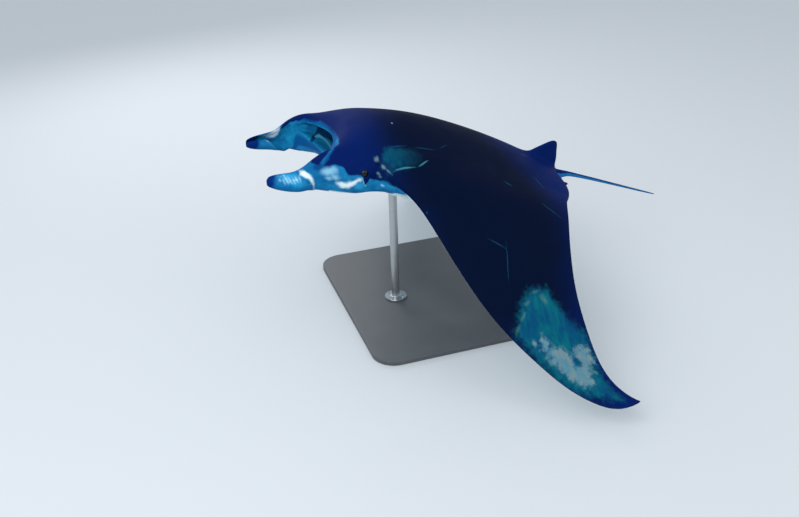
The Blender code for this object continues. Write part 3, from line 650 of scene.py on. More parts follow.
count = len(flat_mesh.vertices)
flat = np.empty((count, 3))
flat_mesh.vertices.foreach_get("co", flat.ravel())
facing = np.empty((count, 3), np.float32)
flat_mesh.vertex_normals.foreach_get("vector", facing.ravel())
left = flat[:, 0] > 0
out, back, up = np.abs(flat[:, 0]), flat[:, 1], flat[:, 2]
below = ease(*FACING_DOWN, -facing[:, 2]) * (back > GILL_FIELD[1][0])

relief, slide, slit = np.zeros((3, count))
for number in range(GILL_PAIRS):
    inner = GILL_INNER + number * GILL_DRIFT
    outer = GILL_OUTER - number * GILL_SHORTER
    share = (out - inner) / (outer - inner)
    line = GILL_FIRST + number * GILL_SPACING - GILL_BOW * np.sin(math.pi * share * GILL_BOW_TURN)
    swell = np.sqrt(np.clip(np.sin(math.pi * np.clip(between(*GILL_ENDS, share), 0, 1)), 0, 1)) * below
    behind = back - line
    rising = ease(-GILL_LENGTH, -GILL_LIP, behind)
    dropped = ease(0.0, GILL_DROP, behind)
    healed = ease(GILL_DROP, SLIT_LENGTH, behind)
    relief += swell * between(rising * GILL_PROUD, -SLIT_DEPTH * (1 - healed), dropped)
    slide += swell * GILL_OVERHANG * rising * (1 - dropped)
    # The slit's dark edge, and painted shade under each flap's edge.
    shaded = ease(*SLIT_SHADE[:2], behind) * (1 - ease(*SLIT_SHADE[2:], behind))
    slit = np.maximum(slit, swell * shaded)
for middle, size, depth in HOLLOWS:
    spread = np.linalg.norm((np.stack((out, back, up), axis=1) - middle) / size, axis=1)
    relief -= depth * (1 - ease(*HOLLOW_EDGE, spread))
    # Painted shade in the nostrils and spiracles.
    slit = np.maximum(slit, 1 - ease(*HOLLOW_SHADE, spread))
shaped = flat + facing * relief[:, None]
shaped[:, 1] += slide

# The glide.  The wings droop in an arch, sweep back and twist nose down towards their tips.
DROOP = ((0.0, 0.0), (0.1, -1.4), (0.2, 33.0), (0.3, 35.7), (0.4, 35.7), (0.5, 3.7))
ARCH_STEPS = 200
TIP_SWEEP = 0.03
TIP_TWIST = 25.0
TWIST_FROM = 0.105
TWIST_HINGE = (0.26, 0.32)


def fly(spots):
    """Bends places on the flat fish into its glide."""
    stride = 0.5 / ARCH_STEPS
    droops = [math.radians(along(DROOP, (step + 0.5) * stride)) for step in range(ARCH_STEPS)]
    stations = np.arange(ARCH_STEPS + 1) * stride
    outs = np.concatenate(([0], np.cumsum(np.cos(droops)))) * stride
    downs = np.concatenate(([0], np.cumsum(np.sin(droops)))) * stride
    flat_out = np.abs(spots[:, 0])
    out = np.interp(flat_out, stations, outs)
    down = np.interp(flat_out, stations, downs)
    droop = np.interp(flat_out, stations, [math.radians(along(DROOP, place)) for place in stations])
    share = np.clip((flat_out - TWIST_FROM) / (0.5 - TWIST_FROM), 0, 1)
    twist = math.radians(TIP_TWIST) * share
    hinge = between(*TWIST_HINGE, share)
    behind = spots[:, 1] - hinge
    lift = behind * np.sin(twist) + spots[:, 2] * np.cos(twist)
    back = hinge + behind * np.cos(twist) - spots[:, 2] * np.sin(twist) + TIP_SWEEP * share ** 2
    out = out + lift * np.sin(droop)
    return np.stack((np.copysign(out, spots[:, 0]), back, lift * np.cos(droop) - down), axis=1)


flown = fly(shaped)

# The lids.  Each eye's ball sits in a pocket of hide that wraps round behind it, with a soft thick
# lid raised about its rim.
POCKET_GAP = 0.0002
eye_low, eye_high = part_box("eye_left")
eye_middle = (eye_low + eye_high) / 2
eye_radius = (eye_high.z - eye_low.z) / 2
EYE_OUT = eye_middle.x / DISC_WIDTH
BALL = eye_radius / DISC_WIDTH
POCKET = BALL + POCKET_GAP
LID_INNER = 0.0052
LID_CREST = 0.0072
LID_OUTER = 0.012
LID_RISE = 0.0011
LID_SHADE = 0.001

for side in (1, -1):
    depth = side * flown[:, 0] - EYE_OUT
    aside = flown[:, 1:] - np.array(EYE_AT)
    far = np.hypot(aside[:, 0], aside[:, 1])
    mine = (depth > -LID_OUTER) & (far < LID_OUTER)
    rim_depth = math.sqrt(POCKET ** 2 - LID_INNER ** 2)
    lid = ease(LID_INNER, LID_CREST, far) * (1 - ease(LID_CREST, LID_OUTER, far))
    hug = 1 - ease(LID_INNER, LID_CREST, far)
    outside = between(depth, rim_depth, hug) + LID_RISE * lid
    turn = np.clip(far / LID_INNER, 0, 1) * (math.pi - math.asin(LID_INNER / POCKET))
    pocketed = far < LID_INNER
    new_depth = np.where(pocketed, -POCKET * np.cos(turn), outside)
    new_far = np.where(pocketed, POCKET * np.sin(turn), far)
    grown_by = new_far / np.maximum(far, 1e-9)
    flown[mine, 0] = side * (EYE_OUT + new_depth[mine])
    flown[mine, 1:] = np.array(EYE_AT) + aside[mine] * grown_by[mine, None]
    # Painted shade in the pocket round each eye.
    slit = np.maximum(slit, np.where(mine, 1 - ease(LID_INNER, LID_INNER + LID_SHADE, far), 0))

# The markings, with the painted light and shade, as fields on the hide: each is more than nought inside its
# outline and less beyond it.  The painter's reference is the photograph for the near side and the species
# for the belly.
# Places are in mm on the flat fish: (back, up) on the head's sides, and (out, back) elsewhere.  An
# oval adds its half length, its half width and its turn in degrees.
SIDE_LINE = ((-144, 32), (-99, -13), (-54, -12), (-22, -1.3), (0, 2.9), (38, 0.3), (58, -20), (74, -33),
             (115, -23), (138, -22), (154, -53), (170, -72), (179, -34), (214, -36), (250, -19), (352, -16))
INNER_LINE = ((-134, -48), (-115, -38), (-83, 4.8), (-42, 32), (16, 58))
RIM_BAND_FRONT = ((-19, -78), (16, -59), (30, -49), (50, -34), (67, -14))
RIM_BAND_REAR = ((-19, -59), (16, -36), (30, -30), (50, -20), (67, -5.8))
NEAR_LIP = ((0, 54), (64, 51), (157, 39), (224, 24), (250, 14), (275, 1.6))
FAR_LIP = ((0, 54), (48, 51), (96, 44), (134, 35), (157, 24), (179, 11), (214, -7.7), (237, -24))
# Painted shade: an arch on the mouth's floor, in the shade under the upper lip.
ARCH = ((136, 9), (156, 20), (196, 37), (225, 60), (225, 75), (217, 98), (205, 120), (187, 134), (128, 147),
        (0, 160))
ARCH_HALF = 0.01
CRESCENT_LINE = ((195, 48), (215, 64), (205, 78), (182, 96), (150, 105), (112, 109), (0, 115))
CRESCENT_HALF = 0.013
SHOULDER = ((269, 237), (320, 211), (381, 250), (394, 320), (378, 403), (339, 438), (294, 410), (272, 320))
TIP_PATCH = ((966, 838), (1018, 797), (1072, 765), (1178, 733), (1280, 797), (1382, 864), (1456, 934),
             (1517, 1030), (1549, 1104), (1504, 1104), (1408, 1082), (1296, 1078), (1184, 1066),
             (1104, 1008), (1024, 960), (954, 928))
# Painted shade: dark blue ovals over parts of the tip's teal patch.
TIP_SHADOWS = ((1119, 832, 83, 29, -8), (1120, 1002, 106, 35, -11))
BLOTCHED = ((0, 1040, 400, 208, 0), (0, 608, 224, 51, 90))
CLOUD = ((1196, 847), (1196, 868), (1222, 871), (1241, 872), (1240, 895), (1244, 925), (1261, 945),
         (1276, 960), (1267, 979), (1246, 1000), (1242, 1023), (1247, 1059), (1300, 1069), (1318, 1069),
         (1343, 1055), (1357, 1038), (1369, 1061), (1384, 1060), (1392, 1019), (1414, 1037), (1433, 1036),
         (1458, 1009), (1463, 988), (1431, 974), (1425, 946), (1379, 912), (1331, 884), (1324, 848),
         (1310, 844), (1284, 861), (1273, 841), (1265, 831), (1231, 834))
CLOUD_HOLE = ((1291, 975), (1287, 995), (1311, 1002), (1331, 1008), (1340, 994), (1329, 973), (1309, 964))
SHOULDER_SPOTS = ((194, 60, 19, 17, 0), (227, 38, 13, 11, 0), (212, 1, 14, 10, -20), (224, -9.6, 12, 9, 0),
                  (249, 33, 18, 7.7, -20))
NEAR_BAND = ((-158, -59), (-141, -50), (-122, -53), (-102, -62), (-88, -78), (-75, -101), (-61, -138),
             (-69, -136), (-88, -106), (-112, -88), (-134, -80), (-154, -75))
# Painted light: diagonal streaks of rippled sunlight on the near head fin.
CAUSTIC_TICKS = ((-150, -93, 11, 3.8, -48), (-165, -97, 11, 3.8, -48), (-179, -101, 12, 3.8, -48),
         (-194, -106, 12, 4.2, -48), (-208, -110, 12, 4.2, -48), (-223, -114, 12, 4.5, -48),
         (-238, -115, 9.6, 5.8, -48))
FAR_BAND = ((-218, -106), (-179, -80), (-141, -38), (-126, -26), (-119, -51), (-123, -86), (-136, -106),
            (-160, -109), (-192, -107), (-211, -107))
CHEEK_WHITE = ((21, -78), (46, -66), (75, -69), (98, -53), (130, -36), (141, -35), (149, -48), (128, -62),
               (106, -93), (91, -112), (62, -107), (29, -93))
CHEEK_MOTTLES = ((-26, -34, 54, 37, 10), (9.6, -54, 35, 22, -20), (-19, -64, 35, 18, 0),
                 (163, -64, 27, 5.1, -52), (243, -49, 11, 9.6, 0))
# Painted light: pools of lighter blue where light falls on the near head fin and the cheek.
LIT_POOLS = ((-192, -99, 96, 38, -8), (138, -83, 38, 30, 0), (179, -27, 16, 22, 0))
# Painted shade: dark blue in the mouth's corner, where the slit between the lips lies in shade.
CORNER_SHADE = ((-19, 27, 83, 34, 55), (-74, -19, 38, 22, 30))
FIN_TIPS = (-256, -224)
MID_BACK = (512, 704, 1152, 544, 12)
LINE_SAMPLES = 200
# Half the width of a painted streak of light in metres, and a distance in mm that is past every mark.
CAUSTIC_TICK_HALF = 0.004
FAR_OFF = 3200
# Where one kind of paint gives way to the next, in fractions of the width of the disc.
LIPS_END = (0.074, 0.082)
LINING_FROM = (0.55, 0.8)
LOW_LINING = (0.012, 0.06)
CHEEK_OUT = (0.08, 0.092)
SHOULDER_OUT = 0.13
HEAD_PAINT_OUT = (0.1, 0.122)
HEAD_PAINT_BACK = (0.1, 0.13)
SIDE_PAINT_BACK = (0.085, 0.12)
SIDE_PAINT_FRONT = (-0.006, 0.012)
SIDE_PAINT_LOW = (-0.048, -0.034)
# Painted shade: the heights, on the flat fish, over which the head fins darken towards their lower edge.
FIN_LOW_SHADE = (-0.036, -0.052)
FIN_ROOT = -0.01
EDGE_FACING = -0.25
EDGE_SOFTNESS = 0.05
TAIL_FROM = 0.428
TAIL_LINE = 0.45


def read_line(line, places):
    """Reads a smooth line through points at many places at once."""
    samples = np.linspace(line[0][0], line[-1][0], LINE_SAMPLES)
    return np.interp(places, samples, [along(line, sample) for sample in samples])


def from_line(line, spots):
    """How far each spot lies from a line of straight runs, in metres."""
    nearest = np.full(count, np.inf)
    for start, end in zip(line, line[1:]):
        run = np.subtract(end, start)
        share = np.clip((spots - start) @ run / (run @ run), 0, 1)
        nearest = np.minimum(nearest, np.linalg.norm(spots - start - share[:, None] * run, axis=1))
    return nearest / 1000


def inside_outline(outline, spots):
    """How far inside a closed outline each spot lies, in metres."""
    within = np.zeros(count, bool)
    for start, end in zip(outline, outline[1:] + outline[:1]):
        crosses = (start[1] > spots[:, 1]) != (end[1] > spots[:, 1])
        share = (spots[:, 1] - start[1]) / ((end[1] - start[1]) or 1)
        within ^= crosses & (spots[:, 0] < between(start[0], end[0], share))
    away = from_line(outline + outline[:1], spots)
    return np.where(within, away, -away)


def inside_ovals(marks, spots):
    """How far inside the nearest of several ovals each spot lies: 1 at a middle and 0 at a rim."""
    nearest = np.full(count, -np.inf)
    for *middle, length, width, turn in marks:
        run, rise = (spots - middle).T
        turn = math.radians(turn)
        along_it = (run * math.cos(turn) + rise * math.sin(turn)) / length
        across_it = (rise * math.cos(turn) - run * math.sin(turn)) / width
        nearest = np.maximum(nearest, 1 - np.hypot(along_it, across_it))
    return nearest


lining = np.empty(count, np.float32)
flat_mesh.attributes["lining"].data.foreach_get("value", lining)
lining = np.clip(lining, 0, 1)
out_mm, back_mm, up_mm = (1000 * DISC_WIDTH * values for values in (out, back, up))
from_side = np.stack((back_mm, up_mm), axis=1)
from_above = np.stack((out_mm, back_mm), axis=1)

# On the head's side the dark skin ends at a wavy line, on the upper lip behind a pale rim, and on
# the inner face of a head fin just under its upper edge.  A pale band runs down the near fin's rim.
rim_band = np.minimum(back_mm - read_line(RIM_BAND_FRONT, up_mm), read_line(RIM_BAND_REAR, up_mm) - back_mm)
rim_band = np.where(left & (up_mm > RIM_BAND_FRONT[0][0]), rim_band, -FAR_OFF)
outer_face = np.minimum(up_mm - read_line(SIDE_LINE, back_mm), -rim_band)
inner_face = up_mm - read_line(INNER_LINE, back_mm)
fin_face = between(outer_face, np.where(left, outer_face, inner_face), lining)
lip_line = np.where(left, read_line(NEAR_LIP, out_mm), read_line(FAR_LIP, out_mm))
jaw_face = np.minimum(outer_face, back_mm - lip_line) - FAR_OFF * ease(*LINING_FROM, lining)
head_dark = between(jaw_face, fin_face, ease(*LIPS_END, out)) / 1000
edge_dark = (facing[:, 2] - EDGE_FACING) * EDGE_SOFTNESS
wing_share = np.clip(ease(*HEAD_PAINT_OUT, out) + ease(*HEAD_PAINT_BACK, back), 0, 1)
dark = between(head_dark, edge_dark, wing_share)
tail_back, tail_up, _, tail_high = zip(*TAIL_STATIONS)
tail_line = np.interp(back, tail_back, tail_up) + TAIL_LINE * np.interp(back, tail_back, tail_high)
tail_part = (back > TAIL_FROM) & (out < PELVIC_STATIONS[0][2])
dark = np.where(tail_part, (up - tail_line) * DISC_WIDTH, dark)

# The near fin's white: its pale band, and painted light in diagonal streaks of rippled sunlight.
near_white_and_caustics = np.maximum(inside_outline(NEAR_BAND, from_side), inside_ovals(CAUSTIC_TICKS, from_side) * CAUSTIC_TICK_HALF)
cheek = ease(*CHEEK_OUT, out)
side_front = np.maximum(ease(*SIDE_PAINT_LOW, up), 1 - ease(*SIDE_PAINT_FRONT, back))
low_lining = (lining > 0.5) & (up < LOW_LINING[0]) & (back < LOW_LINING[1])
fields = {
    "dark": dark,
    "shoulder": inside_outline(SHOULDER, from_above),
    "tip_patch": inside_outline(TIP_PATCH, from_above),
    "cloud": np.minimum(inside_outline(CLOUD, from_above), -inside_outline(CLOUD_HOLE, from_above)),
    "tip_shadow": inside_ovals(TIP_SHADOWS, from_above),
    "blotched": inside_ovals(BLOTCHED, from_above),
    "mid_back": inside_ovals((MID_BACK,), from_above),
    "shoulder_spots": between(-1, inside_ovals(SHOULDER_SPOTS, from_side), cheek * (out < SHOULDER_OUT)),
    "fin_white": np.where(left, near_white_and_caustics, inside_outline(FAR_BAND, from_side)),
    "fin_low": ease(*FIN_LOW_SHADE, up) * (back < FIN_ROOT),
    "fin_tip": (np.where(left, *FIN_TIPS) - back_mm) / 1000,
    "tail": tail_part.astype(float),
    # Where the painted shade of the head's side goes: its sides, its fins and the belly's edge behind the
    # head.
    "head_side": side_front * (1 - ease(*SIDE_PAINT_BACK, back)),
    "corner": inside_ovals(CORNER_SHADE, from_side),
    "cheek_white": between(-0.1, inside_outline(CHEEK_WHITE, from_side), cheek),
    "cheek_mottle": between(-1, inside_ovals(CHEEK_MOTTLES, from_side), cheek),
    "lit_pool": between(-1, inside_ovals(LIT_POOLS, from_side), cheek),
    "arch": np.where(low_lining, ARCH_HALF - from_line(ARCH, from_above), -ARCH_HALF),
    "crescent": np.where(low_lining, CRESCENT_HALF - from_line(CRESCENT_LINE, from_above), -CRESCENT_HALF),
    "slit": slit,
    "hem": (np.interp(out, *zip(*TRAILING_EDGE)) - back) * DISC_WIDTH,
}

# The hide is set on its rods nose up, where the solids are, and takes its fields with it.  It is
# a hair smaller than they are, for the thickness of the paint.
NOSE_UP = 17.7
PAINT_ROOM = 0.9996
tilt = Matrix.Rotation(-math.radians(NOSE_UP), 3, "X")
eye_spot = tilt @ (Vector((0, *EYE_AT)) * DISC_WIDTH)
lift = Vector((0, eye_middle.y, eye_middle.z)) - eye_spot
placed = (flown * PAINT_ROOM * DISC_WIDTH) @ np.array(tilt).T + np.array(lift)
flat_mesh.vertices.foreach_set("co", placed.astype(np.float32).ravel())
for name, values in fields.items():
    flat_mesh.attributes.new(name, "FLOAT", "POINT").data.foreach_set("value", values.astype(np.float32))
spread_out = flat_mesh.attributes.new("flat", "FLOAT_VECTOR", "POINT")
spread_out.data.foreach_set("vector", (flat * DISC_WIDTH).astype(np.float32).ravel())
for name in ("column", "row", "level"):
    flat_mesh.attributes.remove(flat_mesh.attributes[name])
flat_mesh.update()

# The hide's paint.  The resin is primed, then air-brushed and glazed with acrylics under a satin
# varnish, so that it has the depth and the faint damp gloss of a live fish.  The back is blue-black
# with teal and chalky patches, the belly is white with dark blotches.
BACK_DEEP = "#010C26"
BACK_BLUE = "#021A56"
PATCH_TEAL = "#045F6C"
PATCH_SHADE = "#034268"
CHALK = "#6C8388"
CHALK_BLUE = "#477C90"
OCHRE = "#2E6660"
# Painted light: the colours of thin bright lines of rippled sunlight, over the back and on the shoulder's
# patch.
CAUSTIC_LINE = "#0C4460"
PATCH_CAUSTIC = "#347C84"
BELLY_WHITE = "#D9EDF3"
BELLY_SHADE = "#93BCD0"
BLOTCH = "#22303F"
HEM_GREY = "#43586A"
# Painted shade: the blue of the pale lips in shade.
LIP_SHADE_BLUE = "#064E88"
LINING = "#1584AC"
LINING_SHADE = "#0A5E92"
# Painted shade: the dark deep in the mouth and under the upper lip.
CAVITY_SHADE = "#03254E"
CRESCENT = "#58B4DC"
FIN_WHITE = "#E6FAFC"
FIN_LIT_BLUE = "#2C9CCC"
# Painted shade: the sea blues that the head's pale skin takes in shade.
FIN_SHADE = "#0C5E94"
CHEEK_BLUE = "#1C82B4"
CHEEK_PALE = "#8CC4DC"
# The dark edges of the gill slits, and painted shade in them, in the nostrils, the spiracles and the eyes'
# pockets.
SLIT_DARK = "#041830"
FIN_TIP = "#02276C"
TAIL_BLUE = "#0E6FB0"
# Painted shade: the dark blue of the mouth's corner.
CORNER_SHADE_BLUE = "#053E78"
FINGERS = ((1224, 811, 24, 15, -2), (1224, 856, 48, 24, -2))
STREAKS = ((1151, 749, 32, 11, 151), (1098, 784, 38, 7, 144), (1034, 817, 22, 12, 135),
           (980, 865, 29, 9.6, 112), (1011, 898, 35, 17, 24))
SPOTS = ((122, 304, 7.7, 6.4, 0),)
# Painted light: where lines of rippled sunlight lie, along the shoulder's patch and over the back.
PATCH_CAUSTICS = ((382, 320, 61, 5.1, 88), (368, 410, 38, 5.1, 118))
CAUSTIC_LINES = ((272, 301, 61, 4.2, 92), (282, 435, 83, 3.8, 88), (253, 544, 38, 3.2, 125),
               (328, 1091, 58, 7, 26), (417, 860, 30, 7, 61), (746, 720, 73, 4.5, 60),
               (836, 757, 115, 4.5, -6), (529, 1080, 89, 5.1, 53), (87, 1097, 32, 9.6, 104),
               (586, 402, 9.6, 6.4, 0))
BLOTCH_GRID = 0.1
BLOTCH_REACH = 0.45
BLOTCH_RARITY = 0.25
BLOTCH_WANDER = 0.03
MARK_WANDER = 0.014
OVAL_BLEND = 0.25
SHOULDER_FADE = (0.43, 0.24)
CREASE_SHARE = 1.6


def noise(tree, place, size, detail=5.0, roughness=0.55, stretch=(1.0, 1.0, 1.0)):
    """Noise whose blobs are about size metres wide, from -0.5 to 0.5."""
    stretched = add(tree, "Mapping", {"Vector": place, "Scale": stretch})
    value = add(tree, "TexNoise",
                {"Vector": stretched, "Scale": 1 / size, "Detail": detail, "Roughness": roughness})
    return add(tree, "Math", {0: value, 1: 0.5}, operation="SUBTRACT")


def ovals(tree, spot, marks):
    """How far inside the nearest of several ovals a place lies: 1 at a middle and 0 at a rim.

    Ovals that meet flow into each other."""
    nearest = None
    for out, back, length, width, turn in marks:
        local = add(tree, "Mapping",
                    {"Vector": spot, "Location": (out / 1000, back / 1000, 0),
                     "Rotation": (0, 0, math.radians(turn)), "Scale": (length / 1000, width / 1000, 1)},
                    vector_type="TEXTURE")
        reach = add(tree, "VectorMath", {0: local}, "Value", operation="LENGTH")
        inside = add(tree, "Math", {0: 1.0, 1: reach}, operation="SUBTRACT")
        if nearest is not None:
            inside = add(tree, "Math", {0: inside, 1: nearest, 2: OVAL_BLEND}, operation="SMOOTH_MAX")
        nearest = inside
    return nearest


def sprayed(tree, under, over, field, ragged, amount, edge, strength=1.0):
    """Sprays a colour over another where a field is high.  A noise makes the edge ragged, and edge
    gives the field's values where the spray starts and where it is full."""
    under, over = (linear(colour) if isinstance(colour, str) else colour for colour in (under, over))
    worn = add(tree, "Math", {0: ragged, 1: amount, 2: field}, operation="MULTIPLY_ADD")
    mask = add(tree, "MapRange",
               {"Value": worn, "From Min": edge[0], "From Max": edge[1], "To Max": strength},
               interpolation_type="SMOOTHSTEP")
    return add(tree, "Mix", {0: mask, 6: under, 7: over}, 2, data_type="RGBA")


def layered(tree, coat, *sprays):
    """Sprays one colour after another over a coat: (colour, field, noise, amount, edge, strength)."""
    for over, *rest in sprays:
        coat = sprayed(tree, coat, over, *rest)
    return coat


def painted_hide():
    """The whole paint job, in the order in which the coats go on."""
    material, tree, shader = new_finish("varnished_hide_paint")
    place = add(tree, "Attribute", {}, "Vector", attribute_name="flat")
    field = {name: add(tree, "Attribute", {}, "Fac", attribute_name=name)
             for name in (*fields, "lining")}
    part = [add(tree, "SeparateXYZ", {0: place}, axis) for axis in "XYZ"]
    broad = noise(tree, place, 0.45, 3.0)
    cloudy = noise(tree, place, 0.09)
    ragged = noise(tree, place, 0.03, 6.0, 0.65)
    fine = noise(tree, place, 0.008, 4.0, 0.6)
    streaky = noise(tree, place, 0.024, 4.0, 0.6, (0.22, 1.0, 1.0))

    # Marks are mirrored from side to side, and each side's noise makes them ragged in its own way.
    # The belly's blotches are not mirrored.
    one_side = add(tree, "Math", {0: part[0]}, operation="ABSOLUTE")
    shakes = ((cloudy, MARK_WANDER, one_side), (noise(tree, place, 0.075, 4.0), MARK_WANDER, part[1]),
              (cloudy, BLOTCH_WANDER, part[0]))
    shaken_out, shaken_back, own_out = (
        add(tree, "Math", {0: shake, 1: amount, 2: straight}, operation="MULTIPLY_ADD")
        for shake, amount, straight in shakes)
    spot, own_spot = (add(tree, "CombineXYZ", {"X": shaken, "Y": shaken_back, "Z": 0.0})
                      for shaken in (shaken_out, own_out))

    # The back: navy, blue-black over its middle.  Its patches are teal, streaked along the wing, with
    # painted shade in dark blue over parts of the tip's patch.  The shoulder's fades towards the tail.
    teal = sprayed(tree, PATCH_SHADE, PATCH_TEAL, streaky, cloudy, 0.8, (-0.24, 0.26))
    # Painted shade: dark blue over parts of the tip's teal patch.
    teal = sprayed(tree, teal, PATCH_SHADE, field["tip_shadow"], ragged, 0.9, (-0.2, 0.6), 0.85)
    fading = add(tree, "MapRange", {"Value": part[1], "From Min": SHOULDER_FADE[0],
                                    "From Max": SHOULDER_FADE[1], "To Max": 0.65})
    chalk = sprayed(tree, CHALK_BLUE, CHALK, streaky, ragged, 0.9, (-0.22, 0.16))
    ochre = sprayed(tree, OCHRE, CHALK, cloudy, fine, 0.3, (-0.1, 0.3))
    back_coat = layered(
        tree, BACK_BLUE,
        (BACK_DEEP, field["mid_back"], broad, 0.6, (-0.15, 0.55)),
        (teal, field["tip_patch"], ragged, 0.1, (-0.024, 0.034), 0.95),
        (teal, field["shoulder"], ragged, 0.05, (-0.01, 0.03), fading),
        # Painted light: thin bright lines of rippled sunlight over the back, and along the borders of the
        # shoulder's patch.
        (CAUSTIC_LINE, ovals(tree, spot, CAUSTIC_LINES), ragged, 0.9, (0.0, 0.8), 0.7),
        (PATCH_CAUSTIC, ovals(tree, spot, PATCH_CAUSTICS), ragged, 0.9, (0.0, 0.7), 0.85),
        # Chalky marks: spots on the back and the shoulder, then streaks and one cloud at the tip.
        (chalk, ovals(tree, spot, SPOTS), fine, 0.9, (0.0, 0.5)),
        (chalk, field["shoulder_spots"], ragged, 1.8, (0.0, 0.9), 0.8),
        (ochre, ovals(tree, spot, STREAKS), ragged, 1.1, (-0.15, 0.9), 0.7),
        (chalk, ovals(tree, spot, FINGERS), ragged, 1.9, (0.0, 0.75), 0.85),
        (chalk, field["cloud"], ragged, 0.09, (-0.01, 0.02), 0.92))

    # The belly: white, shaded broadly, its rear hem grey.  Each fish has its own dark blotches, on
    # the belly and in a few places between the gills.
    white = sprayed(tree, BELLY_WHITE, BELLY_SHADE, broad, fine, 0.1, (-0.05, 0.3))
    cells = add(tree, "TexVoronoi", {"Vector": own_spot, "Scale": 1 / BLOTCH_GRID}, "Distance",
                voronoi_dimensions="2D")
    chance = add(tree, "SeparateXYZ", {0: cells.node.outputs["Color"]}, "X")
    room = add(tree, "MapRange", {"Value": field["blotched"], "From Max": 0.25, "To Max": BLOTCH_REACH})
    reach = add(tree, "MapRange", {"Value": chance, "From Min": BLOTCH_RARITY, "To Max": room})
    blotch = add(tree, "Math", {0: reach, 1: cells}, operation="SUBTRACT")

    # The head's side and the head fins: pale skin painted in the sea blue of its shade, mottled, with
    # painted pools of light, painted shade low on the fins, white on the cheek and painted shade at the
    # mouth's corner.  The mouth's lining has painted shade deep in and in an arch on its floor under the
    # upper lip, with a pale crescent on the lower jaw.
    side_coat = layered(
        tree, FIN_SHADE,
        (CHEEK_BLUE, cloudy, ragged, 0.6, (-0.2, 0.3)),
        # Painted light: lighter blue pools on the near head fin and the cheek.
        (FIN_LIT_BLUE, field["lit_pool"], ragged, 0.5, (0.0, 0.8), 0.85),
        # Painted shade: darker towards the head fins' lower edge.
        (FIN_SHADE, field["fin_low"], cloudy, 0.4, (0.0, 1.0), 0.9),
        (CHEEK_PALE, field["cheek_mottle"], cloudy, 1.8, (-0.1, 0.9), 0.85),
        (FIN_WHITE, field["cheek_white"], ragged, 0.03, (-0.006, 0.016), 0.95),
        # Painted shade: dark blue in the mouth's corner.
        (CORNER_SHADE_BLUE, field["corner"], ragged, 0.6, (0.0, 0.6), 0.9))
    lining_coat = layered(
        tree, LINING,
        (LINING_SHADE, cloudy, ragged, 0.5, (-0.2, 0.2)),
        # Painted shade: dark in an arch under the upper lip, and deeper in the mouth.
        (CAVITY_SHADE, field["arch"], ragged, 0.004, (-0.003, 0.003), 0.9),
        (CAVITY_SHADE, part[1], ragged, 0.02, (0.125, 0.16)),
        (CRESCENT, field["crescent"], ragged, 0.006, (0.0, 0.008), 0.9))
    pale_coat = layered(
        tree, HEM_GREY,
        (white, field["hem"], cloudy, 0.18, (-0.01, 0.1)),
        (BLOTCH, blotch, ragged, 0.5, (-0.01, 0.03), 0.8),
        # Painted shade: the head's side, its fins and the belly's edge behind the head take the sea blue of
        # pale skin in shade.
        (side_coat, field["head_side"], cloudy, 0.2, (0.35, 0.65)),
        (TAIL_BLUE, field["tail"], fine, 0.0, (0.4, 0.6), 0.85),
        # Painted shade: the pale lips in the blue of their shade.
        (LIP_SHADE_BLUE, field["lining"], ragged, 0.05, (0.03, 0.1)),
        (lining_coat, field["lining"], ragged, 0.25, (0.35, 0.65)),
        (FIN_WHITE, field["fin_white"], ragged, 0.022, (-0.004, 0.012), 0.9))
    colour = layered(
        tree, pale_coat,
        (back_coat, field["dark"], ragged, 0.014, (-0.005, 0.005)),
        (FIN_TIP, field["fin_tip"], ragged, 0.03, (-0.012, 0.014)),
        # The gill slits' dark edges, and painted shade in the slits, nostrils, spiracles and eyes' pockets.
        (SLIT_DARK, field["slit"], fine, 0.1, (0.25, 0.75)))

    rough = add(tree, "MapRange",
                {"Value": cloudy, "From Min": -0.3, "From Max": 0.3, "To Min": 0.58, "To Max": 0.72})
    # The skin's grain is drawn about four times as coarse as it is, so that it shows.
    grain = noise(tree, place, 0.0045, 3.0, 0.6)
    creases = noise(tree, place, 0.05, 5.0, 0.6, (1.0, 0.22, 1.0))
    height = add(tree, "Math", {0: creases, 1: CREASE_SHARE, 2: grain}, operation="MULTIPLY_ADD")
    bump = add(tree, "Bump", {"Height": height, "Strength": 0.35, "Distance": 0.0012})
    feed(shader, {"Base Color": colour, "Roughness": rough, "Normal": bump, "Specular IOR Level": 0.03})
    return material


flat_mesh.materials.clear()
flat_mesh.materials.append(painted_hide())
flat_mesh.shade_smooth()
flat_mesh.name = "hide"
hide = in_scene("hide", flat_mesh)
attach(hide, "root")
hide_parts(*(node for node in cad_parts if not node.startswith(("stand_", "eye_"))))

# The eyes.  Each is a ball of cast resin, painted behind its clear front: a black pupil, a thin
# bronze ring and a dark brown iris.  It is set in its pocket from outside before the lids are
# closed round it.
EYE_STEPS = (48, 24)
CORNEA_SWELL = 0.0006
CORNEA_SHARE = 0.6
FLECK_SCALE = 900.0
PUPIL_SHARE = 0.4
IRIS_SHARE = 0.8
PUPIL = "#020202"
IRIS_BROWN = "#070B10"
IRIS_BRONZE = "#12171B"
EYE_BLACK = "#05070A"


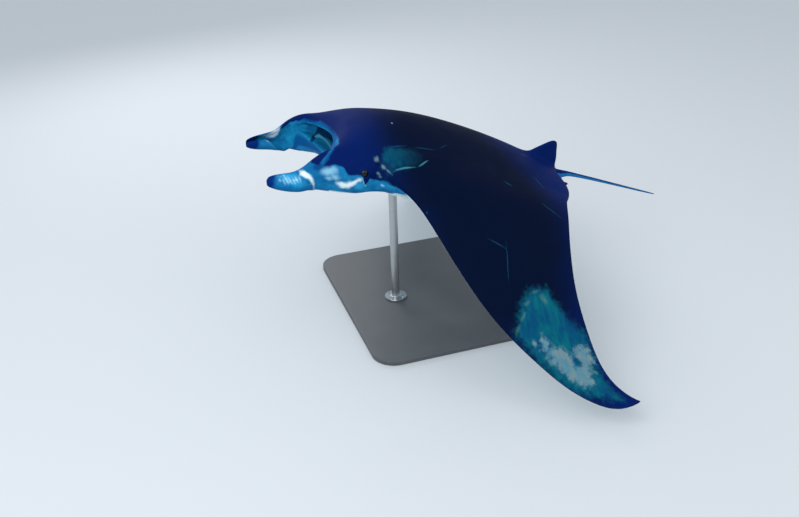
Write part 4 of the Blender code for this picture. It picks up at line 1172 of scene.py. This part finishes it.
def glass_eye():
    """Cast resin over paint: very smooth and glossy, dark but for a bronze ring."""
    material, tree, shader = new_finish("glossy_eye_resin")
    ring = add(tree, "Attribute", {}, "Fac", attribute_name="from_pupil")
    place = add(tree, "TexCoord", {}, "Object")
    flecks = add(tree, "TexNoise", {"Vector": place, "Scale": FLECK_SCALE, "Detail": 3.0})
    rayed = add(tree, "Mix", {0: flecks, 6: linear(IRIS_BROWN), 7: linear(IRIS_BRONZE)}, 2,
                data_type="RGBA")
    in_iris = add(tree, "MapRange",
                  {"Value": ring, "From Min": PUPIL_SHARE - 0.03, "From Max": PUPIL_SHARE + 0.03})
    past_iris = add(tree, "MapRange",
                    {"Value": ring, "From Min": IRIS_SHARE - 0.08, "From Max": IRIS_SHARE})
    colour = add(tree, "Mix", {0: in_iris, 6: linear(PUPIL), 7: rayed}, 2, data_type="RGBA")
    colour = add(tree, "Mix", {0: past_iris, 6: colour, 7: linear(EYE_BLACK)}, 2, data_type="RGBA")
    feed(shader, {"Base Color": colour, "Roughness": 0.18, "Specular IOR Level": 0.2, "Coat Weight": 0.2,
                  "Coat Roughness": 0.08})
    return material


eye_finish = glass_eye()
for name, side in (("eye_left", 1), ("eye_right", -1)):
    low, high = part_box(name)
    middle = (low + high) / 2
    bm = bmesh.new()
    bmesh.ops.create_uvsphere(bm, u_segments=EYE_STEPS[0], v_segments=EYE_STEPS[1], radius=eye_radius)
    ring = bm.verts.layers.float.new("from_pupil")
    for vert in bm.verts:
        share = vert.co.xy.length / eye_radius if vert.co.z > 0 else 1.0
        vert[ring] = share
        vert.co.z += CORNEA_SWELL * (1 - ease(0.0, CORNEA_SHARE, share))
    bmesh.ops.rotate(bm, verts=bm.verts, cent=(0, 0, 0), matrix=Matrix.Rotation(side * math.pi / 2, 3, "Y"))
    bmesh.ops.translate(bm, verts=bm.verts, vec=middle)
    eye = finished(bm, name.replace("eye", "eyeball"), eye_finish)
    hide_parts(name)

# The studio.  A plain pale floor under soft light, and the camera where the photographer was: a
# little above and in front of the fish's left wing.
FLOOR_WIDE = 60.0
FLOOR_PAINT = "#C9CDD0"
CAMERA_AT = Vector((4.1291, -1.5852, 2.6187))
CAMERA_AZIMUTH = 71.854
CAMERA_ELEVATION = 28.476
CAMERA_ROLL = -1.649
SENSOR_WIDTH = 36.0
FRAME_WIDTH = 799
FOCUS_PIXELS = 904.18
LIGHTS = (("key", (3.0, -3.4, 4.6), 5.0, 170.0), ("fill", (4.5, 3.0, 3.5), 4.0, 50.0),
          ("far_side", (-4.5, -1.0, 3.5), 4.0, 85.0))
LIT_SPOT = (0, 0, 0.7)
SKY_GREY = (0.8, 0.86, 0.92, 1.0)
SKY_STRENGTH = 0.95


def floor_paint():
    """Matt floor paint, rolled on, with a barely seen unevenness."""
    material, tree, shader = new_finish("matt_floor_paint")
    place = add(tree, "TexCoord", {}, "Object")
    rolled = add(tree, "TexNoise", {"Vector": place, "Scale": 1.5, "Detail": 4.0})
    rough = add(tree, "MapRange", {"Value": rolled, "To Min": 0.8, "To Max": 0.92})
    feed(shader, {"Base Color": linear(FLOOR_PAINT), "Roughness": rough, "Specular IOR Level": 0.2})
    return material


bm = bmesh.new()
bmesh.ops.create_grid(bm, x_segments=1, y_segments=1, size=FLOOR_WIDE / 2)
floor_mesh = mesh_of(bm, "floor")
floor_mesh.materials.append(floor_paint())
in_scene("floor", floor_mesh)

for name, spot, size, power in LIGHTS:
    lamp = bpy.data.lights.new(name, "AREA")
    lamp.shape = "DISK"
    lamp.size = size
    lamp.energy = power
    holder = in_scene(name, lamp)
    holder.location = spot
    aim = Vector(LIT_SPOT) - Vector(spot)
    holder.rotation_euler = aim.to_track_quat("-Z", "Y").to_euler()

world = bpy.data.worlds.new("studio")
world.use_nodes = True
feed(world.node_tree.nodes["Background"], {"Color": SKY_GREY, "Strength": SKY_STRENGTH})
bpy.context.scene.world = world
bpy.context.scene.view_settings.view_transform = "Standard"

azimuth, elevation = math.radians(CAMERA_AZIMUTH), math.radians(CAMERA_ELEVATION)
away = Vector((math.sin(azimuth) * math.cos(elevation), -math.cos(azimuth) * math.cos(elevation),
               math.sin(elevation)))
rightward = Vector((0, 0, 1)).cross(away).normalized()
upward = away.cross(rightward)
looking = Matrix((rightward, upward, away)).transposed() @ Matrix.Rotation(math.radians(CAMERA_ROLL), 3, "Z")
lens = bpy.data.cameras.new("camera")
lens.sensor_width = SENSOR_WIDTH
lens.lens = SENSOR_WIDTH * FOCUS_PIXELS / FRAME_WIDTH
camera = in_scene("camera", lens)
camera.matrix_world = Matrix.Translation(CAMERA_AT) @ looking.to_4x4()
bpy.context.scene.camera = camera
